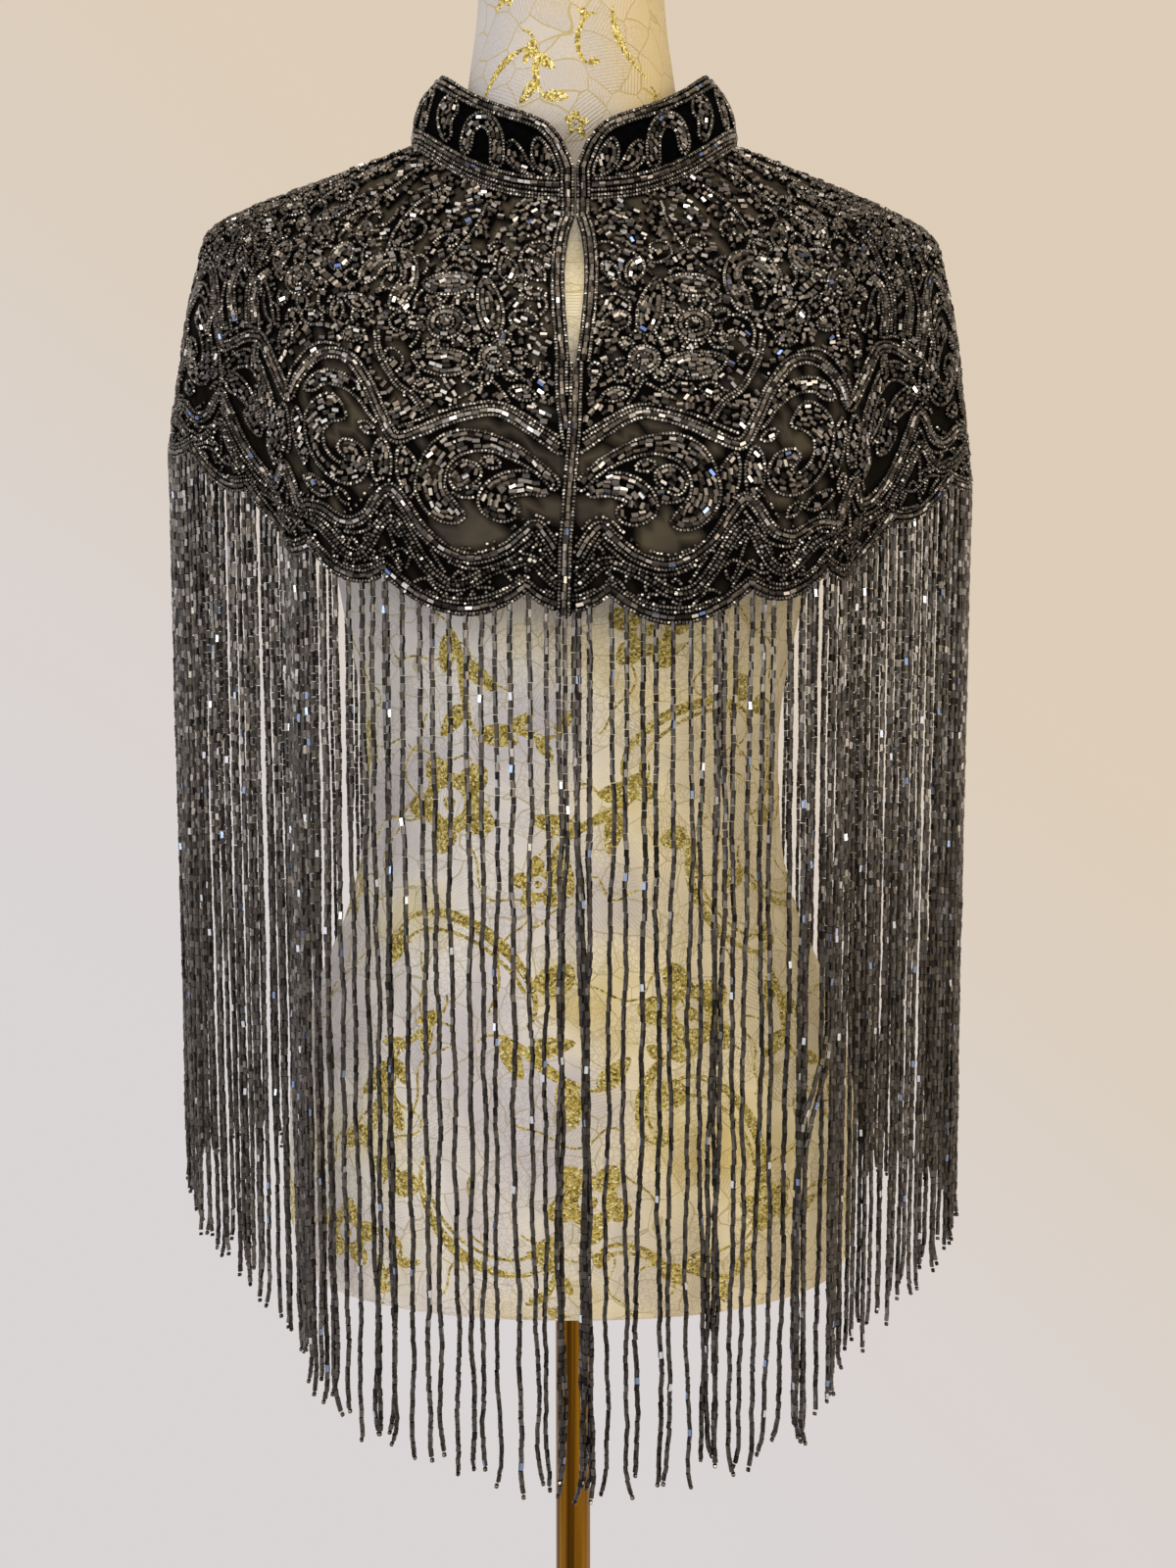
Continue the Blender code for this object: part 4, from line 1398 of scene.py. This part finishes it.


# Colours of the glass by a facet's tone and painted light: its body up to about 0.9, then the painted
# glints, last the bluest or brightest painted glints.
PAINTED_GLINT, PAINTED_BLUE_GLINT = 0.95, 1.0
BUGLE_STOPS = (
    (0.0, (0.006, 0.0055, 0.005)),
    (0.30, (0.082, 0.074, 0.066)),
    (0.65, (0.292, 0.260, 0.232)),
    (0.90, (0.55, 0.515, 0.48)),
    (0.96, (0.85, 0.83, 0.80)),
    (1.0, (0.16, 0.24, 0.52)),
)
STRAND_STOPS = (
    (0.0, (0.006, 0.0055, 0.005)),
    (0.30, (0.088, 0.079, 0.072)),
    (0.65, (0.235, 0.215, 0.200)),
    (0.90, (0.42, 0.41, 0.41)),
    (0.96, (0.74, 0.80, 0.90)),
    (1.0, (0.24, 0.32, 0.52)),
)
SEED_STOPS = (
    (0.0, (0.007, 0.006, 0.005)),
    (0.25, (0.053, 0.048, 0.042)),
    (0.60, (0.19, 0.172, 0.150)),
    (0.88, (0.50, 0.46, 0.41)),
    (1.0, (0.92, 0.88, 0.80)),
)
MATERIALS = {
    "bugle": bead_material("glass_bugle", BUGLE_STOPS, 0.24),
    "strand": bead_material("glass_strand", STRAND_STOPS, 0.30),
    "seed": bead_material("glass_seed", SEED_STOPS, 0.26),
    "tulle": net_material(),
    "velvet": velvet_material(),
    "lace": lace_material(),
    "gold": gold_material(),
    "brass": brass_material(),
    "turned": turned_material(),
}


# ---------------------------------------------------------------- meshes
def new_object(name, data):
    made = bpy.data.objects.new(name, data)
    bpy.context.scene.collection.objects.link(made)
    return made


def new_mesh(name, points, faces, materials, smooth_faces, kinds=None):
    """An object from arrays: faces is a list of (count, corners) index arrays."""
    mesh = bpy.data.meshes.new(name)
    points = np.asarray(points, np.float32)
    corners = np.concatenate([f.ravel() for f in faces]).astype(np.int32)
    sizes = np.concatenate([np.full(len(f), f.shape[1]) for f in faces])
    starts = np.concatenate([[0], np.cumsum(sizes)[:-1]]).astype(np.int32)
    mesh.vertices.add(len(points))
    mesh.vertices.foreach_set("co", points.ravel())
    mesh.loops.add(len(corners))
    mesh.loops.foreach_set("vertex_index", corners)
    mesh.polygons.add(len(sizes))
    mesh.polygons.foreach_set("loop_start", starts)
    if kinds is not None:
        mesh.polygons.foreach_set("material_index", kinds.astype(np.int32))
    mesh.polygons.foreach_set("use_smooth", smooth_faces.astype(bool))
    for finish in materials:
        mesh.materials.append(MATERIALS[finish])
    mesh.update(calc_edges=True)
    mesh.validate()
    made = new_object(name, mesh)
    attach(made, "root")
    return made


def add_layer(made, name, domain, values):
    layer = made.data.attributes.new(name, "FLOAT", domain)
    layer.data.foreach_set("value", values.astype(np.float32))


def bead_arrays(rows, capped):
    """Points and faces of faceted beads: the facets first, then the ends where they are closed."""
    sides = SIDES
    middle, along, normal, radius, length = (np.array([r[k] for r in rows]) for k in range(5))
    aside = unit(np.cross(along, normal))
    normal = np.cross(aside, along)
    turns = (rng.random(len(rows)) * 2 * math.pi)[:, None] + 2 * math.pi * np.arange(sides) / sides
    around = np.cos(turns)[..., None] * aside[:, None] + np.sin(turns)[..., None] * normal[:, None]
    half = (along * length[:, None] / 2)[:, None]
    rim = around * radius[:, None, None]
    points = np.concatenate([middle[:, None] - half + rim, middle[:, None] + half + rim], 1)
    ring = np.arange(sides)
    after = (ring + 1) % sides
    pieces = [np.stack([ring, after, after + sides, ring + sides], 1)]
    if capped:
        pieces.append(np.stack([ring[::-1], ring + sides]))
    offsets = (np.arange(len(rows)) * 2 * sides)[:, None, None]
    faces = [(offsets + p[None]).reshape(-1, p.shape[1]) for p in pieces]
    return points.reshape(-1, 3), faces


# Every bead has five flat sides. How each kind takes the light, painted into its facets: the finish's
# number, darkest and brightest body, painted light and shade between facets, share of facets with a
# painted glint, share of facets with a painted blue or brightest glint.
SIDES = 5
FINISHES = ("bugle", "seed", "strand")
CUTS = {
    "bugle": (0, 0.20, 0.72, 0.50, 0.029, 0.010),
    "strand": (2, 0.20, 0.46, 0.25, 0.007, 0.007),
    "seed": (1, 0.25, 0.80, 0.55, 0.06, 0.0),
    "round": (1, 0.10, 0.60, 0.70, 0.08, 0.0),
}
# Painted shade: sewn beads darken from the first to the second distance beside the middle (m), where
# they turn away from the light. They also darken below the low beads' height near the hem. Both go down
# to this share of their tone.
PAINTED_FLANK_BEAD_SHADE = (0.11, 0.165)
LOW_BEADS, DARKENED_SHARE = 1.145, 0.66
COLLAR_DARKER = 0.82
# Painted shade on the strands: darker in front, where they hang against the bright form, than at the
# sides, between these distances round the hem (mm).
STRAND_SIDES, STRAND_PAINTED_SHADE = (115, 165), (0.66, 0.90)


def bead_object(name, rows):
    """One mesh of all these beads. Each facet has its own tone and its own painted light and shade."""
    points, faces, tones_and_painted_light, kinds, soft = [], [], [], [], []
    base = 0
    for kind, (index, low, high, painted_facet_contrast, painted_glints, painted_blue_glints) in CUTS.items():
        chosen = [r for r in rows if r[5] == kind]
        if not chosen:
            continue
        capped = kind != "strand"
        p, f = bead_arrays(chosen, capped)
        body = low + (high - low) * rng.random((len(chosen), 1))
        if capped:
            aside = np.abs([r[0][0] for r in chosen])
            height = np.array([r[0][2] for r in chosen])
            # Painted shade at the flanks, and darker below the low beads' height.
            body *= np.interp(aside, PAINTED_FLANK_BEAD_SHADE, (1.0, DARKENED_SHARE))[:, None]
            body *= np.interp(height, (LOW_BEADS, LOW_BEADS + 0.04), (DARKENED_SHARE, 1.0))[:, None]
        else:
            # Each strand has a tone of its own, and those in front get painted shade.
            homes = np.abs([r[6] for r in chosen]) / MM
            own = 0.66 + 0.62 * (np.sin(homes * 91.7) * 43.7 % 1.0)
            body *= (own * np.interp(homes, STRAND_SIDES, STRAND_PAINTED_SHADE))[:, None]
        if name == "beads_collar":
            body *= COLLAR_DARKER
        # Painted light and shade: each facet's tone varies at random about the bead's body.
        tone_and_painted_light = np.clip(body + (rng.random((len(chosen), SIDES)) - 0.5) * painted_facet_contrast, 0.02, 0.90)
        # A few facets get a painted glint, and a few a painted blue glint.
        luck = rng.random(tone_and_painted_light.shape)
        tone_and_painted_light[luck < painted_glints] = PAINTED_GLINT
        tone_and_painted_light[luck > 1 - painted_blue_glints] = PAINTED_BLUE_GLINT
        # The closed ends take the darkest colour: partly the bead's hole, partly painted shade between the
        # beads.
        tones_and_painted_light += [tone_and_painted_light.ravel(), np.full(2 * len(chosen) if capped else 0, 0.0)]
        faces += [x + base for x in f]
        base += len(p)
        points.append(p)
        count = sum(len(x) for x in f)
        kinds.append(np.full(count, index))
        soft.append(np.full(count, index == 1))
    points, kinds, soft = (np.concatenate(x) for x in (points, kinds, soft))
    made = new_mesh(name, points, faces, FINISHES, soft, kinds)
    add_layer(made, "tone_and_painted_light", "FACE", np.concatenate(tones_and_painted_light))
    return made


def shell_object(name, points, finish, thickness):
    """A smooth shell through a grid of points, rows first, with its thickness to the inside."""
    rows, columns = points.shape[:2]
    quads = quads_of(np.arange(rows * columns).reshape(rows, columns))
    made = new_mesh(name, points.reshape(-1, 3), [quads], [finish], np.ones(len(quads)))
    solidify = made.modifiers.new("Thickness", "SOLIDIFY")
    solidify.thickness = thickness
    solidify.offset = -1
    return made


# ---------------------------------------------------------------- the garment's pieces
PANELS = {
    "front_right": (-SEAM_FRONT, 0.0),
    "front_left": (0.0, SEAM_FRONT),
    "side_right": (-SEAM_BACK, -SEAM_FRONT),
    "side_left": (SEAM_FRONT, SEAM_BACK),
}
NET_THICK, VELVET_THICK = 0.35 * MM, 1.1 * MM
# The grid of the net's shell: the distance between its columns at most, and its rows.
NET_STEP, NET_ROWS = 4.6 * MM, 42
# The net is near-black this near a bead, partly its sewing thread and partly painted shade between the
# beads, and the front edges are drawn apart over this reach.
CLOSE_BY, OPENED = 1.1 * MM, 12 * MM
# Painted shade on the net low down and at the flanks, where the form lies far behind: how much at most,
# from where and over what width, down the share and beside the middle (m).
NET_LOW_PAINTED_SHADE, NET_FLANK_PAINTED_SHADE = (0.86, 0.88, 0.05), (0.92, 0.115, 0.04)


def net_points(distances, shares, side=0):
    """Points of the net's shell, with the front edges drawn apart round the keyhole."""
    a, t = np.meshgrid(distances, shares)
    t = t * edge_share(distances)[None, :]
    points = cloth(a, t)
    if side:
        near = np.clip(1 - np.abs(a) / OPENED, 0, 1)
        flat = cloth(0.0, t[:, 0])[:, 0][:, None]
        shift = (centre_line(t) - flat + side * (keyhole(t) + 0.2 * MM)) * near
        points[..., 0] += shift
    return points


def weave_of(points):
    """Cloth coordinates in metres, for the weave."""
    across = np.linalg.norm(np.diff(points, axis=1, prepend=points[:, :1]), axis=2)
    down = np.linalg.norm(np.diff(points, axis=0, prepend=points[:1]), axis=2)
    middle = points.shape[0] // 2
    u = np.tile(np.cumsum(across[middle])[None], (points.shape[0], 1))
    return np.stack([u, np.cumsum(down, axis=0)], -1)


def covered(places, most, start, width):
    return most * np.clip((places - start) / width, 0, 1)


def bareness(points):
    """How bare each point of the net is: 1 on the open tulle in front, 0 among the beads, where the dark net
    is partly sewing thread and partly painted shade, and less low down and at the flanks, as painted shade.
    """
    near = np.array([NET_BEADS.near([tuple(p)], CLOSE_BY, 1.0) for p in points.reshape(-1, 3)])
    lower = covered(np.linspace(0, 1, len(points)), *NET_LOW_PAINTED_SHADE)
    flank_shade = covered(np.abs(points[..., 0]), *NET_FLANK_PAINTED_SHADE)
    return np.where(near, 0.0, 1.0 - np.maximum(lower[:, None], flank_shade).ravel())


def add_weave(made, points):
    """The weave's layer: cloth coordinates in metres."""
    layer = made.data.uv_layers.new(name="weave")
    corners = np.zeros(len(made.data.loops), np.int32)
    made.data.loops.foreach_get("vertex_index", corners)
    layer.data.foreach_set("uv", weave_of(points).reshape(-1, 2)[corners].astype(np.float32).ravel())


def stations(low, high, step):
    """Distances round the hem, a few mm apart and at every point of the scallops."""
    marks = sorted({s * x for lobe in LOBES for x in lobe[:2] for s in (-1, 1)} | {low, high})
    marks = [m for m in marks if low - 1e-9 <= m <= high + 1e-9]
    found = []
    for a, b in zip(marks, marks[1:]):
        found += list(np.linspace(a, b, max(2, int((b - a) / step)) + 1)[:-1])
    return np.array(found + [marks[-1]])


def panel_of(home):
    for name, (low, high) in PANELS.items():
        if low <= home < high:
            return name
    return "back"


def dressed(fringe_rows):
    """The net panels with their beads and fringe."""
    groups, strands = ({name: [] for name in (*PANELS, "back")} for _ in range(2))
    for sorted_rows, rows in ((groups, NET_BEADS.rows), (strands, fringe_rows)):
        for row in rows:
            sorted_rows[panel_of(row[6])].append(row)
    shares = np.linspace(0, 1, NET_ROWS)
    for name in groups:
        if name == "back":
            half = stations(SEAM_BACK, HEM_HALF, NET_STEP)
            distances = np.concatenate([half, -half[::-1][1:]])
            points = net_points(distances, shares)
        else:
            low, high = PANELS[name]
            side = {"front_right": -1, "front_left": 1}.get(name, 0)
            points = net_points(stations(low, high, NET_STEP), shares, side)
        shell = shell_object(f"net_{name}", points, "tulle", NET_THICK)
        add_weave(shell, points)
        add_layer(shell, "bare", "POINT", bareness(points))
        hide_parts(name)
        beads = bead_object(f"beads_{name}", groups[name])
        hanging = bead_object(f"strands_{name}", strands[name])
        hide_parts(f"fringe_{name}")


# Half the opening between the collar's ends, in degrees round the neck, and the collar's height.
FRONT_GAP, COLLAR_HEIGHT = 0.15, 46 * MM


def neck_band():
    """The velvet collar with its beads."""
    shares = [1.0, 0.93, 0.86, 0.78, 0.68, 0.55, 0.4, 0.25, 0.12, 0]
    half = np.concatenate([[FRONT_GAP], np.linspace(0, 20, 26)[1:], np.linspace(21, 180, 80)])
    degrees = np.concatenate([half, -half[-2::-1]])
    points = collar(*np.meshgrid(degrees, shares))
    band = shell_object("collar_velvet", points, "velvet", VELVET_THICK)
    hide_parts("collar")
    beads = bead_object("beads_collar", COLLAR_BEADS.rows)


def dress_form():
    """The smooth covered form, closed at the neck and below."""
    low, high = FORM[0, 0], FORM[-1, 0]
    z = np.unique(np.concatenate([FORM[:, 0], np.linspace(low, high, 84)]))
    angles = np.linspace(0, 2 * math.pi, 120, endpoint=False)
    points = form(*np.meshgrid(angles, z)).reshape(-1, 3)
    count, columns = len(points), len(angles)
    index = np.arange(count).reshape(-1, columns)
    index = np.concatenate([index, index[:, :1]], 1)
    quads = quads_of(index)[:, [0, 3, 2, 1]]
    bottom = np.stack([np.full(columns, count), index[0, 1:], index[0, :-1]], 1)
    top = np.stack([np.full(columns, count + 1), index[-1, :-1], index[-1, 1:]], 1)
    points = np.concatenate([points, [[0, 0, low], [0, 0, high]]])
    soft = np.concatenate([np.ones(len(quads)), np.zeros(2 * columns)])
    cover = new_mesh("form_cover", points, [quads, np.concatenate([bottom, top])], ["lace"], soft)
    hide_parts("form_torso")


# Gold figures of the form's lace: kind, angle round the form, height, size (mm), turn.
FIGURES = (
    ("spray", -25, 1.085, 44, 25),
    ("flower", 17, 1.112, 22, 0),
    ("scroll", 29, 1.060, 59, 70),
    ("flower", -31, 1.018, 26, 30),
    ("spray", 7, 1.010, 46, -35),
    ("scroll", 36, 0.965, 56, 160),
    ("scroll", -22, 0.940, 67, 20),
    ("flower", 23, 0.905, 26, 15),
    ("spray", -4, 0.880, 46, 80),
    ("scroll", 30, 0.835, 64, -20),
    ("spray", -36, 0.850, 44, 10),
    ("flower", 3, 0.805, 22, 40),
    ("scroll", -17, 0.785, 61, 185),
    ("spray", 21, 0.762, 36, 95),
    ("flower", -44, 0.775, 19, 0),
    ("spray", 48, 0.900, 38, 15),
    ("spray", -11, 1.058, 28, 100),
    ("flower", -7, 0.975, 14, 10),
    ("scroll", 13, 0.862, 34, 120),
    ("spray", -29, 0.892, 28, -20),
    ("flower", 37, 0.797, 16, 20),
    ("scroll", 11, 0.770, 32, 15),
    ("spray", -33, 0.757, 26, 170),
    ("spray", -2, 0.757, 26, 5),
    ("flower", 3, 1.388, 6.5, 0),
    ("band", -36, 1.416, 19, 42),
    ("spray", -17, 1.418, 25, 30),
    ("scroll", 7, 1.432, 19, 130),
    ("band", 33, 1.434, 20, 118),
    ("spray", 47, 1.402, 14, 20),
    ("flower", -40, 1.462, 8, 0),
    ("scroll", 30, 1.478, 20, 0),
)


# How far the edges of a figure lie above the form, where its ridge is at 1: a little below the surface.
EDGE_LIFT = -0.05


def stroke(curve, widths):
    """A strip along a line in mm, domed across: places in mm, lifts and faces."""
    heading = unit(np.gradient(curve, axis=0))
    aside = np.stack([heading[:, 1], -heading[:, 0]], 1)
    across = np.array([-0.5, 0, 0.5])
    spots = curve[:, None] + aside[:, None] * (across[None] * widths[:, None])[..., None]
    lifts = np.tile([EDGE_LIFT, 1.0, EDGE_LIFT], len(curve))
    return spots.reshape(-1, 2), lifts, quads_of(np.arange(3 * len(curve)).reshape(-1, 3))


BLADE_POINTS = 16


def blade(centre, length, width, turn):
    """A domed leaf or petal, in mm."""
    n = BLADE_POINTS
    t = np.linspace(0, 2 * math.pi, n, endpoint=False)
    outer = np.stack([length / 2 * np.cos(t), width / 2 * np.sin(t) * (1 - 0.3 * np.cos(t))], 1)
    c, s = math.cos(turn), math.sin(turn)
    spots = np.concatenate([outer, outer * 0.62, np.zeros((1, 2))]) @ np.array([[c, s], [-s, c]]) + centre
    lifts = np.concatenate([np.full(n, EDGE_LIFT), np.full(n, 0.85), [1.0]])
    here = np.arange(n)
    after, even = (here + 1) % n, here[::2]
    walls = np.stack([here, after, after + n, here + n], 1)
    top = np.stack([even + n, after[::2] + n, (even + 2) % n + n, np.full(n // 2, 2 * n)], 1)
    return spots, lifts, np.concatenate([walls, top])


# Points along a stroke, and the size (mm) from which a scroll has a second, thinner line beside it.
STROKE_POINTS, DOUBLED_FROM = 34, 30


def figure_parts(kind, size):
    """The strokes and blades of one figure of the lace."""
    s = np.linspace(-1, 1, STROKE_POINTS)
    step = s[1] - s[0]
    if kind == "band":
        widths = 1.2 + 0.20 * size * (1 - s * s) ** 1.5 * (1 + 0.5 * s)
        return [stroke(np.stack([s * size, 6 * (1 - s * s)], 1), widths)]
    if kind == "flower":
        a = np.linspace(0, 2 * math.pi, 20)
        circle = 0.5 * size * np.stack([np.cos(a), np.sin(a)], 1)
        parts = [stroke(circle, np.full(20, 0.34 * size)), blade((0, 0), 0.3 * size, 0.3 * size, 0)]
        for k in range(5):
            a = 2 * math.pi * (k + 0.2) / 5
            centre = (0.80 * size * math.cos(a), 0.80 * size * math.sin(a))
            parts.append(blade(centre, 0.62 * size, 0.62 * size, a))
        return parts
    if kind == "cord":
        turning = 3.4 * np.sin(2.6 * math.pi * s + size) + 1.9 * np.cos(1.2 * math.pi * s)
        heading = np.cumsum(turning) * step * 1.7
    else:
        bend = 2.2 * s**4 + 0.35 if kind == "scroll" else 1.6 * s * (0.4 + s * s)
        heading = np.cumsum(bend) * step * 2.6
    curve = np.cumsum(np.stack([np.cos(heading), np.sin(heading)], 1), axis=0) * step * size
    curve -= curve.mean(0)
    if kind == "cord":
        return [stroke(curve, np.full(STROKE_POINTS, 1.3))]
    scroll = kind == "scroll"
    swell = np.cos(s * math.pi / 2) ** (1.5 if scroll else 3)
    parts = [stroke(curve, 1.3 + (0.085 if scroll else 0.11) * size * swell)]
    if scroll and size > DOUBLED_FROM:
        aside = np.stack([-np.sin(heading), np.cos(heading)], 1)
        second = curve + aside * (0.11 * size + 0.07 * size * s)[:, None]
        parts.append(stroke(second[5:], np.full(STROKE_POINTS - 5, 2.1)))
    reach, long = (0.2 * size, 0.3 * size) if scroll else (0.30 * size, 0.55 * size)
    for k, i in enumerate((4, 30) if scroll else (6, 12, 21, 27)):
        lean = heading[i] + (0.8 if k % 2 else -0.8)
        centre = curve[i] + reach * np.array([math.cos(lean), math.sin(lean)])
        parts.append(blade(centre, long, 0.24 * size, lean))
    return parts


GOLD_THICK = 0.5 * MM


def lace_figures():
    """Gold glitter figures stitched on the form's cover."""
    points, faces, base = [], [], 0
    places = list(FIGURES)
    # Cords in rows of eleven all round, then figures in rows of six at the sides and behind.
    for i in range(66):
        angle = -58 + (i % 11) * 33 + 9 * math.sin(i * 1.9)
        z = 0.775 + (i // 11) * 0.063 + 0.012 * math.sin(i * 2.7)
        places.append(("cord", angle, z, 40 + i % 5 * 6, i * 67))
    for i in range(24):
        kind = ("scroll", "spray", "flower")[i % 3]
        angle = 62 + (i % 6) * 46 + 8 * math.sin(i * 2.1)
        z = 0.780 + (i // 6) * 0.090 + 0.015 * math.sin(i * 3.7)
        places.append((kind, angle, z, (46, 34, 18)[i % 3], i * 77))
    for kind, angle, z, size, turn in places:
        for flat, lifts, quads in figure_parts(kind, size):
            spots = FORM_CHART.local((math.radians(angle), z), flat, turn)
            spots[:, 1] = np.clip(spots[:, 1], FORM[1, 0] + 2 * MM, FORM[-2, 0])
            raised = FORM_CHART.points(spots) + FORM_CHART.normals(spots) * lifts[:, None] * GOLD_THICK
            points.append(raised)
            faces.append(quads + base)
            base += len(raised)
    quads = np.concatenate(faces)
    made = new_mesh("form_lace_gold", np.concatenate(points), [quads], ["gold"], np.ones(len(quads)))


dress_form()
lace_figures()
dressed(FRINGE_ROWS)
neck_band()
for node, finish in (("stand_pole", "brass"), ("stand_base", "turned")):
    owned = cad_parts[node]
    owned.data.materials.clear()
    owned.data.materials.append(MATERIALS[finish])


# ---------------------------------------------------------------- floor, light and camera
def floor():
    n = Nodes("floor_paint")
    paint = n.ramp(n.noise(3, 2), (0.3, (0.70, 0.66, 0.62)), (0.7, (0.74, 0.70, 0.66)))
    n.set(Base_Color=paint, Roughness=0.8)
    half = 0.6
    mesh = bpy.data.meshes.new("floor")
    corners = [(-half, -half, 0), (half, -half, 0), (half, half, 0), (-half, half, 0)]
    mesh.from_pydata(corners, [], [(0, 1, 2, 3)])
    mesh.materials.append(n.owner)
    new_object("floor", mesh)


def backdrop():
    """A pale wall all round, cool to the left and warm to the right."""
    n = Nodes("studio", "worlds", "Background")
    x, _, up = n.parts(n.node("TexCoord").outputs["Generated"])
    slant = n.maths("MULTIPLY_ADD", x, 0.8, up)
    reach = {"Value": slant, "From Min": -0.55, "From Max": 0.35}
    blend = n.node("MapRange", reach, interpolation_type="SMOOTHSTEP").outputs[0]
    n.set(Color=n.ramp(blend, (0.0, (0.70, 0.665, 0.668)), (1.0, (0.725, 0.612, 0.482))), Strength=1.0)
    bpy.context.scene.world = n.owner


def lamp(name, kind, place, towards, power, colour, **sizes):
    data = bpy.data.lights.new(name, kind)
    data.energy, data.color = power, colour
    for key, value in sizes.items():
        setattr(data, key, value)
    made = new_object(name, data)
    made.location = place
    made.rotation_euler = (Vector(towards) - Vector(place)).to_track_quat("-Z", "Y").to_euler()


# The soft lights: name, place, size, power, colour. All but the front one aim at the chest.
CHEST, BREAST = (0, 0, 1.15), (0, 0, 1.2)
LIGHTS = (
    ("window", (-1.5, -1.6, 1.35), (0.9, 1.2), 15, (0.88, 0.94, 1.0)),
    ("lamp", (1.5, -1.2, 1.30), (0.5, 0.7), 8, (1.0, 0.92, 0.80)),
    ("front", (0.15, -1.9, 1.30), (0.35, 0.35), 7, (1.0, 0.97, 0.92)),
    ("top", (0.0, -0.5, 2.6), (0.35, 0.35), 2.5, (1.0, 0.97, 0.92)),
    ("glint", (-0.45, -1.5, 1.75), (0.10, 0.10), 1.2, (1, 1, 1)),
)


def lights():
    for name, place, (wide, tall), power, colour in LIGHTS:
        towards = BREAST if name == "front" else CHEST
        lamp(name, "AREA", place, towards, power, colour, shape="RECTANGLE", size=wide, size_y=tall)
    # A narrow spot from the viewer's side that reaches the form through the keyhole.
    place, keyhole_middle = (0.010, -0.80, 1.075), (0.002, -0.100, 1.292)
    beam = dict(spot_size=math.radians(6.5), spot_blend=1.0, shadow_soft_size=0.01)
    lamp("keyhole_spot", "SPOT", place, keyhole_middle, 15, (1.0, 0.95, 0.85), **beam)


def camera():
    lens = bpy.data.cameras.new("camera")
    lens.lens, lens.sensor_width = 27.05, 36.0
    made = new_object("camera", lens)
    made.location = (0.0096, -0.72, 1.08)
    made.rotation_euler = (math.radians(90 - 4.55), 0, 0)
    bpy.context.scene.camera = made


floor()
backdrop()
lights()
camera()
bpy.context.scene.view_settings.view_transform = "Standard"
